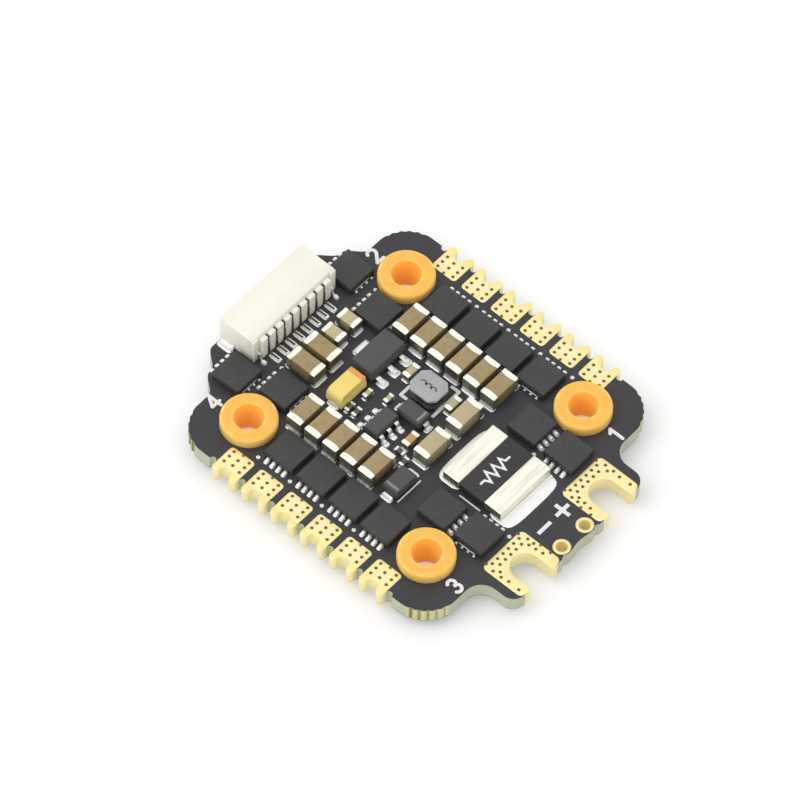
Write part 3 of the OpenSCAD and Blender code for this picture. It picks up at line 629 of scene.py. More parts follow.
# Painted glow: a faint emission stands in for the light that comes through the silicone from its far side,
# stronger in the bore
for made, glow_colour, glow in ((silicone, (255, 186, 90), 0.08), (bore_silicone, (255, 176, 74), 0.15)):
    shader = made.node_tree.nodes["Principled BSDF"].inputs
    shader["Emission Color"].default_value = tint(*glow_colour)
    shader["Emission Strength"].default_value = glow
    shader["Subsurface Weight"].default_value = 0.8
    shader["Subsurface Radius"].default_value = (1.0, 0.5, 0.12)
    shader["Subsurface Scale"].default_value = 0.002
grommet_neck_r = 1.6
bore_r = 1.12
mouth_r = bore_r + 0.18
rim = 0.3
half_board = 0.8
for number in (1, 2, 3, 4):
    node = f"grommet_{number}"
    low, high = box_of(node)
    centre = ((low.x + high.x) / 2, (low.y + high.y) / 2)
    rim_r = (high.x - low.x) / 2
    mid = (low.z + high.z) / 2
    under = mid - half_board
    over = mid + half_board
    upper = []
    for i in range(9):
        bend = math.pi / 2 * i / 8
        upper.append((rim_r - rim + rim * math.cos(bend), high.z - rim + rim * math.sin(bend)))
    upper.append((mouth_r + 0.4, high.z - 0.015))
    for i in range(5):
        bend = math.pi / 2 * i / 4
        upper.append((mouth_r + 0.2 * (1 - math.sin(bend)), high.z - 0.02 - 0.2 * (1 - math.cos(bend))))
    upper.append((bore_r + 0.08, high.z - 0.6))
    upper.append((bore_r, high.z - 1.1))
    lower = [(r, low.z + high.z - z) for r, z in reversed(upper)]
    grommet_mesh = bmesh.new()
    turned(grommet_mesh, centre,
           [(grommet_neck_r, under), (grommet_neck_r, over), (rim_r - 0.02, over), (rim_r, over + 0.05)]
           + upper + [(bore_r, mid)] + lower + [(rim_r, under - 0.05), (rim_r - 0.02, under)],
           steps=64)
    bmesh.ops.recalc_face_normals(grommet_mesh, faces=grommet_mesh.faces)
    for face in grommet_mesh.faces:
        middle = face.calc_center_median()
        if math.hypot(middle.x - centre[0], middle.y - centre[1]) < mouth_r - 0.01:
            face.material_index = 1
    make_piece(f"silicone_grommet_{number}", grommet_mesh, [silicone, bore_silicone],
               [node], 60)

# ---- Signal connector housing ----
# An ivory nylon shell with its mouth over the board's front edge. Nine rounded ribs stand
# along its back, with a contact coming out of each slot between them.
nylon = finish("connector_nylon", (248, 245, 234), (243, 240, 226), patch=350, spread=0.6,
               gloss=(0.45, 0.6), tooth_scale=4000, tooth_depth=0.012)
shader = nylon.node_tree.nodes["Principled BSDF"].inputs
shader["Subsurface Weight"].default_value = 0.15
shader["Subsurface Radius"].default_value = (1.0, 0.9, 0.6)
shader["Subsurface Scale"].default_value = 0.0004
slot_dark = finish("slot_shadow", (84, 84, 60), (60, 60, 44), patch=5000, gloss=(0.7, 0.9))


def block(mesh, low, high, edge, steps=2, colour=0):
    """A block with rounded edges added to a bmesh."""
    low, high = Vector(low), Vector(high)
    made = bmesh.ops.create_cube(mesh, size=1)["verts"]
    for vert in made:
        vert.co = Vector([(low[a] + high[a]) / 2 + vert.co[a] * (high[a] - low[a]) for a in range(3)])
    faces = {face for vert in made for face in vert.link_faces}
    paint(faces, colour)
    if edge > 0:
        edges = list({e for vert in made for e in vert.link_edges})
        bmesh.ops.bevel(mesh, geom=edges, offset=edge, segments=steps, affect="EDGES", profile=0.5,
                        clamp_overlap=True, material=-1)


contact_boxes = sorted(solids("connector_contacts"), key=lambda pair: pair[0].x)
contact_xs = [(low.x + high.x) / 2 for low, high in contact_boxes]
contact_pitch = contact_xs[1] - contact_xs[0]
housing_low, housing_high = box_of("connector_housing")
rib_back = housing_low.y
rib_top = housing_high.z - 0.42
shell_back = rib_back + 0.48
wall = 0.5
housing_mesh = bmesh.new()
shell_rings = []
radius = 0.14
# How far along and how far in from the outside each ring of the shell and its mouth lies
for y, inset in (
    (shell_back, 0.06), (shell_back + 0.06, 0), (housing_high.y - 0.08, 0), (housing_high.y, 0.08),
    (housing_high.y, wall - 0.1), (housing_high.y - 0.1, wall), (shell_back + 0.85, wall),
):
    x0, x1 = housing_low.x + inset, housing_high.x - inset
    z0, z1 = housing_low.z + inset, housing_high.z - inset
    ring = []
    for cx, cz, start in ((x1, z1, 0), (x0, z1, 90), (x0, z0, 180), (x1, z0, 270)):
        for i in range(5):
            bend = math.radians(start + 90 * i / 4)
            sx = 1 if cx == x1 else -1
            sz = 1 if cz == z1 else -1
            ring.append(housing_mesh.verts.new((
                cx - sx * radius + radius * math.cos(bend), y,
                cz - sz * radius + radius * math.sin(bend))))
    shell_rings.append(ring)
skin(housing_mesh, shell_rings)
bmesh.ops.recalc_face_normals(housing_mesh, faces=housing_mesh.faces)
rib_w = contact_pitch - 0.25
for i in range(len(contact_xs) + 1):
    rib_x = contact_xs[0] + (i - 0.5) * contact_pitch
    block(housing_mesh, (rib_x - rib_w / 2, rib_back, housing_low.z),
          (rib_x + rib_w / 2, shell_back + 0.2, rib_top), 0.15, 4)
for side in (-1, 1):
    outer = housing_high.x * side
    inner = outer - side * 0.62
    block(housing_mesh, (min(outer, inner), shell_back - 0.2, housing_low.z),
          (max(outer, inner), shell_back + 0.2, housing_high.z - 0.1), 0.08, 2)
block(housing_mesh, (contact_xs[0] - contact_pitch / 2, rib_back + 0.14, housing_low.z),
      (contact_xs[-1] + contact_pitch / 2, shell_back + 0.1, rib_top - 0.25), 0, colour=1)
make_piece("connector_shell", housing_mesh, [nylon, slot_dark],
           ["connector_housing"], 50)

# ---- Connector contacts and hold-downs ----
# Eight tin-plated contacts come down the slots and run out as flat feet, each wetted to
# its land by solder. A tab on each end of the shell is soldered down to hold it.
tin = finish("bright_tin", (248, 246, 240), (230, 228, 218), patch=2600, spread=0.6,
             gloss=(0.28, 0.42), metal=0.75, tooth_scale=5000, tooth_depth=0.015)
solder = finish("solder", (254, 254, 252), (246, 246, 243), patch=1200, spread=0.6,
                gloss=(0.34, 0.44), metal=0.4, tooth_scale=700, tooth_depth=0.002)
lead_shade = finish("shaded_lead", (104, 103, 92), (78, 77, 68), patch=2600, spread=0.6,
                    gloss=(0.3, 0.45), metal=0.6, tooth_scale=3000, tooth_depth=0.004)


def bent_strip(mesh, path, width, thick, x):
    """A flat lead bent along (y, z) points, centred on x, with slightly eased sides."""
    rows = []
    for i, (y, z) in enumerate(path):
        before = Vector(path[i]) - Vector(path[i - 1]) if i else Vector(path[1]) - Vector(path[0])
        after = Vector(path[i + 1]) - Vector(path[i]) if i + 1 < len(path) else before
        run = (before.normalized() + after.normalized()).normalized()
        up = Vector((-run.y, run.x)) * thick / 2 / max(0.5, run.dot(after.normalized()))
        row = []
        for dx, lift in ((-1, -0.6), (-1, 0.6), (-0.75, 1), (0.75, 1), (1, 0.6), (1, -0.6),
                         (0.75, -1), (-0.75, -1)):
            row.append(mesh.verts.new((x + dx * width / 2, y + up.x * lift, z + up.y * lift)))
        rows.append(row)
    for row, following in zip(rows, rows[1:]):
        for i in range(8):
            j = (i + 1) % 8
            mesh.faces.new([row[i], following[i], following[j], row[j]])
    mesh.faces.new(list(reversed(rows[0])))
    mesh.faces.new(rows[-1])


def mound(mesh, low, high, top, colour=0, crown=0.55, rings=5, steps=20):
    """Solder wetted over a rectangular land: full at the edge, rounding up to a crown."""
    middle = Vector(((low[0] + high[0]) / 2, (low[1] + high[1]) / 2))
    half = Vector(((high[0] - low[0]) / 2, (high[1] - low[1]) / 2))
    layers = []
    for k in range(rings):
        bend = math.pi / 2 * k / rings
        shrink = 1 - (1 - crown) * (1 - math.cos(bend))
        z = low[2] + (top - low[2]) * math.sin(bend)
        layer = []
        for i in range(steps):
            turn = 2 * math.pi * (i + 0.5) / steps
            cos, sin = math.cos(turn), math.sin(turn)
            x = math.copysign(abs(cos) ** 0.45, cos)
            y = math.copysign(abs(sin) ** 0.45, sin)
            layer.append(mesh.verts.new((middle.x + half.x * x * shrink, middle.y + half.y * y * shrink, z)))
        layers.append(layer)
    skin(mesh, layers, colour)


def level_box(along, run, side, bottom, top=0):
    """Two corners of a box that runs along level axis 0 or 1, from its span there and across."""
    low, high = [0, 0, bottom], [0, 0, top]
    low[along], high[along] = sorted(run)
    low[1 - along], high[1 - along] = side
    return low, high


contact_w, contact_t = 0.2, 0.16
contact_mesh = bmesh.new()
for low, high in contact_boxes:
    x = (low.x + high.x) / 2
    bent_strip(contact_mesh, [
        (low.y + 0.05, low.z + 0.1), (rib_back - 0.25, low.z + 0.1), (rib_back - 0.1, low.z + 0.16),
        (rib_back + 0.02, low.z + 0.32), (rib_back + 0.1, low.z + 0.6), (rib_back + 0.1, high.z - 0.3),
        (rib_back + 0.2, high.z - 0.14), (rib_back + 0.4, high.z - 0.1), (high.y - 0.15, high.z - 0.1),
        (high.y, high.z - 0.1),
    ], contact_w, contact_t, x)
    for side in (-1, 1):
        ridge = x + side * 0.16
        mound(contact_mesh, (ridge - 0.07, low.y, low.z), (ridge + 0.07, rib_back - 0.12, low.z),
              low.z + 0.16, 1, 0.6, 4, 12)
    mound(contact_mesh, (x - 0.2, low.y - 0.06, low.z), (x + 0.2, low.y + 0.18, low.z), low.z + 0.22, 1)
contact_mesh.normal_update()
for face in contact_mesh.faces:
    middle = face.calc_center_median()
    if face.material_index == 0 and middle.y < rib_back + 0.12:
        face.material_index = 2
make_piece("contact_strips", contact_mesh, [tin, solder, lead_shade],
           ["connector_contacts"], 40)

tab_mesh = bmesh.new()
for low, high in solids("connector_hold_downs"):
    side = 1 if low.x > 0 else -1
    near = low.x if side > 0 else high.x
    block(tab_mesh, (min(near, near + side * 0.15), low.y, low.z),
          (max(near, near + side * 0.15), high.y, low.z + 0.4), 0.04)
    block(tab_mesh, (low.x, low.y, low.z), (high.x, high.y, low.z + 0.15), 0.04)
    mound(tab_mesh, (low.x, low.y + 0.1, low.z), (high.x, high.y - 0.1, low.z), low.z + 0.22, 1, 0.82)
for side in (-1, 1):
    foot_x = side * (housing_high.x - 0.62)
    bent_strip(tab_mesh, [(rib_back - 0.5, housing_low.z + 0.16), (rib_back - 0.1, housing_low.z + 0.16),
                          (rib_back + 0.05, housing_low.z + 0.4), (rib_back + 0.1, housing_low.z + 0.9),
                          (shell_back, housing_low.z + 1.0)], contact_w, contact_t, foot_x)
    mound(tab_mesh, (foot_x - 0.2, rib_back - 0.62, housing_low.z), (foot_x + 0.2, rib_back - 0.1, 0),
          housing_low.z + 0.26, 1)
make_piece("hold_down_tabs", tab_mesh, [tin, solder], ["connector_hold_downs"])

# ---- Shunt resistor ----
# The current sensor: a metal strip between two thick tinned blocks, coated black in the
# middle. The blocks are brushed, and stand in a pool of solder wider than themselves.
shunt_metal = finish("shunt_metal", (242, 238, 216), (230, 225, 200), patch=600, spread=0.7,
                     gloss=(0.34, 0.48), metal=0.7, tooth_depth=0.01, worn_and_lit=(252, 250, 236))
streak(shunt_metal, (1, 14, 14), 260, (208, 202, 174), 0.5, 0.72, 0.6)
# A darker copy of the block metal for their end faces: painted shade.
shunt_end_shade = finish("shunt_end_shade", (118, 116, 92), (88, 86, 66), patch=900, spread=0.7,
                   gloss=(0.4, 0.55), metal=0.5, tooth_depth=0.01)
shunt_coat = finish("shunt_coating", (48, 48, 50), (38, 38, 40), patch=1500, spread=0.6,
                    gloss=(0.5, 0.65), tooth_scale=5000, tooth_depth=0.03)
shunt_low, shunt_high = box_of("shunt_body")
strip_mesh = bmesh.new()
for low, high in solids("shunt_terminals"):
    front = low.y > shunt_low.y
    outer = high.y if front else low.y
    block(strip_mesh, (low.x, low.y, low.z), (high.x, high.y, high.z), 0.1, 3)
    lip = outer + (0.3 if front else -0.3)
    block(strip_mesh, (low.x + 0.03, min(outer, lip), low.z), (high.x - 0.03, max(outer, lip), low.z + 0.1),
          0.045, 2, 1)
strip_mesh.normal_update()
for face in strip_mesh.faces:
    if abs(face.normal.x) > 0.9 and face.material_index == 0:
        face.material_index = 2
make_piece("shunt_blocks", strip_mesh, [shunt_metal, solder, shunt_end_shade],
           ["shunt_terminals"])

coat_mesh = bmesh.new()
block(coat_mesh, shunt_low, shunt_high, 0.07, 2)


def ribbon(mesh, points, width, z, colour):
    """A printed line of even width through (x, y) points, mitred where it turns."""
    pairs = []
    for i, point in enumerate(points):
        here = Vector(point)
        before = (here - Vector(points[i - 1])).normalized() if i else None
        after = (Vector(points[i + 1]) - here).normalized() if i + 1 < len(points) else before
        before = before or after
        across = Vector((-(before.y + after.y), before.x + after.x)).normalized()
        reach = width / 2 / max(0.35, across.dot(Vector((-after.y, after.x))))
        pairs.append([mesh.verts.new((*(here + across * reach * sign), z)) for sign in (1, -1)])
    for one, two in zip(pairs, pairs[1:]):
        face = mesh.faces.new([one[1], two[1], two[0], one[0]])
        face.material_index = colour


# A plain zigzag, the drawing sign for a resistor, printed in white
sign_y = (shunt_low.y + shunt_high.y) / 2
zigzag = [(-1.9, 0), (-1.35, 0)]
zigzag += [(-1.1 + 0.44 * i, 0.55 if i % 2 else -0.55) for i in range(6)]
zigzag += [(1.35, 0), (1.9, 0)]
ribbon(coat_mesh, [(x, sign_y + y) for x, y in zigzag], 0.2, shunt_high.z + 0.004, 1)
make_piece("shunt_coating_band", coat_mesh, [shunt_coat, white_ink], ["shunt_body"])

# ---- Chips in black epoxy ----
# The regulator, the converter chip, the two diodes: moulded bodies whose sides taper
# from a parting line half-way up, on tinned leads.
epoxy = finish("chip_epoxy", (66, 67, 66), (54, 55, 54), patch=1800, spread=0.7,
               gloss=(0.5, 0.7), tooth_scale=7000, tooth_depth=0.05, worn_and_lit=(92, 92, 92))


def moulded(mesh, low, high, taper, edge=0.05):
    """A moulded body: widest half-way up, drafted to top and bottom, soft edges."""
    rings = []
    for z, draft in ((low[2], taper), ((low[2] + high[2]) / 2, 0), (high[2], taper)):
        x0, x1 = low[0] + draft, high[0] - draft
        y0, y1 = low[1] + draft, high[1] - draft
        rings.append([mesh.verts.new((x, y, z)) for x, y in ((x0, y0), (x1, y0), (x1, y1), (x0, y1))])
    edges = list({e for face in skin(mesh, rings) for e in face.edges})
    bmesh.ops.bevel(mesh, geom=edges, offset=edge, segments=2, affect="EDGES", profile=0.5,
                    clamp_overlap=True, material=-1)


chip_mesh = bmesh.new()
moulded(chip_mesh, *box_of("regulator_body"), 0.14, 0.06)
make_piece("regulator_moulding", chip_mesh, [epoxy], ["regulator_body"])

# The converter has a small round mark beside its first lead
chip_mesh = bmesh.new()
low, high = box_of("converter_body")
moulded(chip_mesh, low, high, 0.1)
mark_r = 0.13
turned(chip_mesh, (low.x + 0.42, low.y + 0.42), [
    (mark_r * 0.72, high.z + 0.001), (mark_r, high.z + 0.001), (mark_r, high.z + 0.012),
    (mark_r * 0.86, high.z + 0.016), (mark_r * 0.72, high.z + 0.012),
], 20)
make_piece("converter_moulding", chip_mesh, [epoxy], ["converter_body"])

for part in ("rectifier_diode", "clamp_diode"):
    chip_mesh = bmesh.new()
    low, high = box_of(part + "_body")
    moulded(chip_mesh, low, high, 0.1)
    along = 1 if high.y - low.y > high.x - low.x else 0
    run = (low[along] + 0.32, low[along] + 0.56)
    side = (low[1 - along] + 0.2, high[1 - along] - 0.2)
    block(chip_mesh, *level_box(along, run, side, high.z - 0.02, high.z + 0.003), 0, colour=1)
    band_ink = finish(part + "_band", (150, 150, 150), (118, 118, 118), patch=5000, gloss=(0.6, 0.8))
    make_piece(part + "_moulding", chip_mesh, [epoxy, band_ink], [part + "_body"])

# ---- Leads of the black chips ----
# Tinned copper, bent down in a gull wing from the moulding to the land and wetted with
# solder at the toe.


def gull_wing(mesh, low, high, along, way):
    """A lead inside the box low..high, running along axis 0 or 1 away from its body."""
    across = 1 - along
    width = high[across] - low[across]
    middle = (low[across] + high[across]) / 2
    thick = min(0.16, (high[2] - low[2]) * 0.5)
    root = low[along] if way > 0 else high[along]
    toe = high[along] if way > 0 else low[along]
    reach = abs(toe - root)
    path = [(0, high[2] - thick / 2), (reach * 0.22, high[2] - thick / 2),
            (reach * 0.38, high[2] - thick), (reach * 0.5, low[2] + thick),
            (reach * 0.64, low[2] + thick / 2 + 0.01), (reach, low[2] + thick / 2 + 0.01)]
    before = set(mesh.verts)
    bent_strip(mesh, path, width, thick, 0)
    for vert in set(mesh.verts) - before:
        run = root + way * vert.co.y
        side = middle + vert.co.x
        vert.co = Vector((side, run, vert.co.z)) if along == 1 else Vector((run, side, vert.co.z))
    run, side = (root + way * reach * 0.55, toe), (low[across] - 0.04, high[across] + 0.04)
    mound(mesh, *level_box(along, run, side, low[2]), low[2] + thick * 1.4, 1)


for part in ("regulator", "converter", "rectifier_diode", "clamp_diode"):
    lead_mesh = bmesh.new()
    body_low, body_high = box_of(part + "_body")
    for low, high in solids(part + "_leads"):
        middle = (low + high) / 2
        along = 1 if middle.y > body_high.y or middle.y < body_low.y else 0
        way = 1 if middle[along] > (body_low[along] + body_high[along]) / 2 else -1
        if part == "regulator" and high[1 - along] - low[1 - along] > 1.5:
            block(lead_mesh, low, (high.x, high.y, low.z + 0.12), 0.03)
            mound(lead_mesh, low, (high.x, high.y, low.z), low.z + 0.34, 1, 0.5, 6, 28)
            continue
        gull_wing(lead_mesh, low, high, along, way)
    bmesh.ops.recalc_face_normals(lead_mesh, faces=lead_mesh.faces)
    make_piece(part + "_lead_set", lead_mesh, [tin, solder], [part + "_leads"])

# ---- Tantalum capacitor ----
# A bead moulded in yellow epoxy with an orange band at its positive end and a bevel at
# the other, on two tinned straps folded under the body.
tantalum = finish("yellow_epoxy", (236, 204, 88), (229, 191, 72), patch=900, spread=0.6,
                  gloss=(0.42, 0.58), tooth_scale=5000, tooth_depth=0.03, worn_and_lit=(248, 226, 142))
band_paint = finish("orange_band", (224, 142, 60), (206, 120, 44), patch=900, spread=0.6,
                    gloss=(0.42, 0.58), tooth_scale=5000, tooth_depth=0.03, worn_and_lit=(236, 170, 98))
low, high = box_of("tantalum_capacitor_body")
bead_mesh = bmesh.new()
profile = [(low.x, low.z + 0.04), (low.x + 0.04, low.z), (high.x - 0.04, low.z), (high.x, low.z + 0.04),
           (high.x, low.z + 0.55), (high.x - 0.09, high.z - 0.05), (high.x - 0.15, high.z),
           (high.x - 0.62, high.z), (low.x + 0.42, high.z), (low.x + 0.32, high.z - 0.04),
           (low.x + 0.05, high.z - 0.36), (low.x, high.z - 0.46)]
slices = [(0, 0.05), (0.05, 0.0), (high.y - low.y - 0.05, 0.0), (high.y - low.y, 0.05)]
mid_x = (low.x + high.x) / 2
mid_z = (low.z + high.z) / 2
rows = []
for run, pinch in slices:
    row = []
    for x, z in profile:
        lean = 0.07 * max(0, (z - mid_z)) / (high.z - mid_z)
        y = low.y + run + (lean if run < 0.1 else -lean)
        row.append(bead_mesh.verts.new((
            x - math.copysign(min(pinch, abs(x - mid_x)), x - mid_x), y,
            z - math.copysign(pinch, z - mid_z))))
    rows.append(row)
sides = skin(bead_mesh, rows)[:-2]
paint([face for i, face in enumerate(sides) if 4 <= i % len(profile) <= 6], 1)
bmesh.ops.recalc_face_normals(bead_mesh, faces=bead_mesh.faces)
make_piece("tantalum_bead", bead_mesh, [tantalum, band_paint],
           ["tantalum_capacitor_body"], 30)

strap_mesh = bmesh.new()
for low, high in solids("tantalum_capacitor_terminals"):
    side = 1 if low.x > mid_x else -1
    outer = high.x if side > 0 else low.x
    block(strap_mesh, (min(outer, outer - side * 0.12), low.y + 0.1, low.z),
          (max(outer, outer - side * 0.12), high.y - 0.1, low.z + 0.26), 0.03)
    block(strap_mesh, (low.x, low.y, low.z), (high.x, high.y, low.z + 0.1), 0.03)
make_piece("tantalum_straps", strap_mesh, [tin], ["tantalum_capacitor_terminals"])

# ---- Coil ----
# A power inductor: two eight-sided ferrite flanges on a narrower core wound with copper,
# grey and slightly sparkling. Two tinned pads under it carry the winding's ends.
# The lighter tint along the flanges' bevelled edges is a painted highlight.
ferrite = finish("ferrite", (170, 172, 171), (154, 156, 155), patch=1600, spread=0.7,
                 gloss=(0.45, 0.6), tooth_scale=5000, tooth_depth=0.04, worn_and_lit=(196, 196, 200))
# A dark finish for the core and lower flange: their black resin, together with painted shade beneath the top
# flange.
winding = finish("winding_resin_and_shadow", (74, 70, 70), (48, 46, 48), patch=4000, gloss=(0.4, 0.6))
coil_sign_ink = finish("coil_sign", (100, 102, 102), (84, 86, 86), patch=5000, gloss=(0.6, 0.8))
low, high = box_of("coil_body")
coil_mid = (low + high) / 2
flange_cut = 0.56


def eight_sided(low, high, cut, inset=0):
    """An octagon with equal corner cuts, corners softened by two points each."""
    x0, x1 = low.x + inset, high.x - inset
    y0, y1 = low.y + inset, high.y - inset
    corners = [(x1, y1 - cut), (x1 - cut, y1), (x0 + cut, y1), (x0, y1 - cut),
               (x0, y0 + cut), (x0 + cut, y0), (x1 - cut, y0), (x1, y0 + cut)]
    eased = []
    for i, corner in enumerate(corners):
        here = Vector(corner)
        before = (Vector(corners[i - 1]) - here).normalized()
        after = (Vector(corners[(i + 1) % 8]) - here).normalized()
        eased += [here + before * 0.08, here + (before + after) * 0.02, here + after * 0.08]
    return eased


coil_mesh = bmesh.new()
plate(coil_mesh, eight_sided(low, high, flange_cut), [], high.z - 0.36, high.z, 0.07)
plate(coil_mesh, eight_sided(low, high, flange_cut), [], low.z, low.z + 0.3, 0.05, 1)
plate(coil_mesh, eight_sided(low, high, flange_cut, 0.22), [], low.z + 0.25, high.z - 0.3, 0.0, 1)
# Three plain humps, the drawing sign for a coil
hump_r = 0.28
humps = []
for hump in range(3):
    for i in range(9):
        bend = math.pi * i / 8
        humps.append((coil_mid.x - 0.12 + hump_r * math.sin(bend),
                      coil_mid.y + (hump - 1) * hump_r * 2 - hump_r * math.cos(bend)))
ribbon(coil_mesh, humps, 0.15, high.z + 0.004, 2)
make_piece("coil_drum", coil_mesh, [ferrite, winding, coil_sign_ink], ["coil_body"])

foot_mesh = bmesh.new()
for low, high in solids("coil_terminals"):
    block(foot_mesh, low, high, 0.02)
    mound(foot_mesh, (low.x + 0.05, low.y, low.z), (high.x - 0.05, high.y, low.z), high.z + 0.04, 1)
make_piece("coil_feet", foot_mesh, [tin, solder], ["coil_terminals"])

# ---- Power transistors ----
# Flat black packages in fours round each motor's pads, two more under each corner. Their
# leads barely clear the moulding, and each toe carries a bright drop of solder.
transistor_epoxy = finish("transistor_epoxy", (48, 49, 48), (37, 38, 37), patch=1300, spread=0.8,
                          gloss=(0.42, 0.6), tooth_scale=6000, tooth_depth=0.05,
                          worn_and_lit=(66, 67, 66))
streak(transistor_epoxy, (1, 3, 1), 1500, (68, 69, 66), 0.52, 0.7, 0.5)
for motor in (1, 2, 3, 4):
    body_mesh = bmesh.new()
    lead_mesh = bmesh.new()
    bodies = solids(f"motor_{motor}_transistors")
    for low, high in bodies:
        moulded(body_mesh, low, high, 0.05)
    make_piece(f"motor_{motor}_packages", body_mesh, [transistor_epoxy],
               [f"motor_{motor}_transistors"])
    for low, high in solids(f"motor_{motor}_transistor_leads"):
        middle = (low + high) / 2
        package = min(bodies, key=lambda pair: ((pair[0] + pair[1]) / 2 - middle).length)
        along = 0 if middle.x < package[0].x or middle.x > package[1].x else 1
        way = 1 if middle[along] > package[1][along] else -1
        top_side = package[0].z > board_middle
        near = low[along] if way > 0 else high[along]
        across = 1 - along
        foot, up = (low.z, 1) if top_side else (high.z, -1)
        if high[along] - low[along] < 0.15:
            run, side = (near + way * 0.05, near + way * 0.25), (low[across] + 0.04, high[across] - 0.04)
            mound(lead_mesh, *level_box(along, run, side, foot), foot + 0.1 * up, 1, 0.6, 4, 12)
            continue
        block(lead_mesh, low, high, 0.03, 1)
        run, side = (near, near + way * 0.5), (low[across] - 0.02, high[across] + 0.02)
        mound(lead_mesh, *level_box(along, run, side, foot), foot + 0.2 * up, 1, 0.35)
    bmesh.ops.recalc_face_normals(lead_mesh, faces=lead_mesh.faces)
    make_piece(f"motor_{motor}_package_leads", lead_mesh, [tin, solder],
               [f"motor_{motor}_transistor_leads"])

# ---- Ceramic capacitors ----
# Fired blocks of brown or buff ceramic with a tinned cap dipped over each end. The cap
# stands slightly proud and its edge bows towards the middle of the block.
# Painted shade darkens the faces of these finishes that stand up from the board.
brown_ceramic = finish("brown_ceramic", (156, 134, 92), (142, 118, 78), patch=700, spread=0.7,
                       gloss=(0.34, 0.5), tooth_depth=0.015, worn_and_lit=(170, 148, 108))
streak(brown_ceramic, (5, 5, 1), 400, (130, 104, 66), 0.5, 0.72, 0.4)
paint_side_shade(brown_ceramic, (112, 88, 54), 0.6)
beige_ceramic = finish("beige_ceramic", (179, 167, 122), (162, 150, 104), patch=700, spread=0.7,
                       gloss=(0.34, 0.5), tooth_depth=0.015, worn_and_lit=(202, 192, 156))
paint_side_shade(beige_ceramic, (138, 126, 86), 0.6)
cap_tin = finish("matte_tin", (250, 248, 234), (238, 236, 218), patch=1800, spread=0.6,
                 gloss=(0.38, 0.52), metal=1.0, tooth_scale=4000, tooth_depth=0.02,
                 worn_and_lit=(255, 254, 246), wear_and_glint_span=(0.52, 0.6))
paint_side_shade(cap_tin, (146, 144, 118), 0.8)


def end_cap(mesh, low, high, along, way, bow, round_end):
    """The tinned end of a ceramic block: rounded outside, its lip bowed towards the middle."""
    across = 1 - along
    half_w = (high[across] - low[across]) / 2
    half_h = (high[2] - low[2]) / 2
    mid_w = (low[across] + high[across]) / 2
    mid_h = (low[2] + high[2]) / 2
    outer = high[along] if way > 0 else low[along]
    reach = high[along] - low[along]
    steps = 8
    sections = []
    for i in range(5):
        bend = math.pi / 2 * i / 4
        sections.append((round_end * (1 - math.sin(bend)), round_end * (1 - math.cos(bend)), 0))
    sections.append((0, reach, 1))
    rings = []
    ring_r = min(half_w, half_h) * 0.16
    for inset, depth, lip in sections:
        ring = []
        for corner, (sw, sh) in enumerate(((1, 1), (-1, 1), (-1, -1), (1, -1))):
            for i in range(4):
                bend = math.radians(90 * corner + 90 * i / 3)
                w = sw * (half_w - inset - ring_r) + ring_r * math.cos(bend)
                h = sh * (half_h - inset - ring_r) + ring_r * math.sin(bend)
                ring.append([w, h, depth])
            following = ((-1, 1), (-1, -1), (1, -1), (1, 1))[corner]
            for i in range(1, steps):
                share = i / steps
                if corner % 2 == 0:
                    w = (half_w - inset - ring_r) * (sw + (following[0] - sw) * share)
                    h = sh * (half_h - inset)
                    away_from_middle = abs(w) / half_w
                else:
                    w = sw * (half_w - inset)
                    h = (half_h - inset - ring_r) * (sh + (following[1] - sh) * share)
                    away_from_middle = abs(h) / half_h
                ring.append([w, h, depth + lip * bow * (1 - away_from_middle ** 2)])
        row = []
        for w, h, depth_here in ring:
            spot_at = [0, 0, mid_h + h]
            spot_at[along] = outer - way * depth_here
            spot_at[across] = mid_w + w
            row.append(mesh.verts.new(spot_at))
        rings.append(row)
    inner = []
    lip_step, lip_run = 0.04, 0.012
    for vert in rings[-1]:
        pulled = vert.co.copy()
        pulled[across] = mid_w + (pulled[across] - mid_w) * (1 - lip_step / half_w)
        pulled[2] = mid_h + (pulled[2] - mid_h) * (1 - lip_step / half_h)
        pulled[along] -= way * lip_run
        inner.append(mesh.verts.new(pulled))
    rings.append(inner)
    bmesh.ops.recalc_face_normals(mesh, faces=skin(mesh, rings))


def fillet(mesh, low, high, along, way, height):
    """Solder drawn up the end of a chip in a hollow curve from its land."""
    steps = 5
    across = 1 - along
    foot = 0.42 * height
    outer = high[along] if way > 0 else low[along]
    rows = []
    base, up_way = (low[2], 1) if low[2] > board_middle else (high[2], -1)
    for i in range(steps + 1):
        bend = math.pi / 2 * i / steps
        out = foot * (1 - math.sin(bend))
        up = height * (1 - math.cos(bend)) * up_way
        narrow = 0.06 + 0.05 * i / steps
        row = []
        for side in (low[across] + narrow, high[across] - narrow):
            point = [0, 0, base + up]
            point[along] = outer + way * (out + 0.004)
            point[across] = side
            row.append(mesh.verts.new(point))
        rows.append(row)
    made = [mesh.faces.new([a[0], a[1], b[1], b[0]]) for a, b in zip(rows, rows[1:])]
    back = []
    for side in (0, 1):
        point = rows[0][side].co.copy()
        point[along] = outer - way * 0.03
        back.append(mesh.verts.new(point))
    for side in (0, 1):
        made.append(mesh.faces.new([back[side]] + [row[side] for row in rows]))
    made.append(mesh.faces.new([back[0], back[1], rows[0][1], rows[0][0]]))
    made.append(mesh.faces.new([back[0], back[1], rows[-1][1], rows[-1][0]]))
    bmesh.ops.recalc_face_normals(mesh, faces=made)
    paint(made, 1)


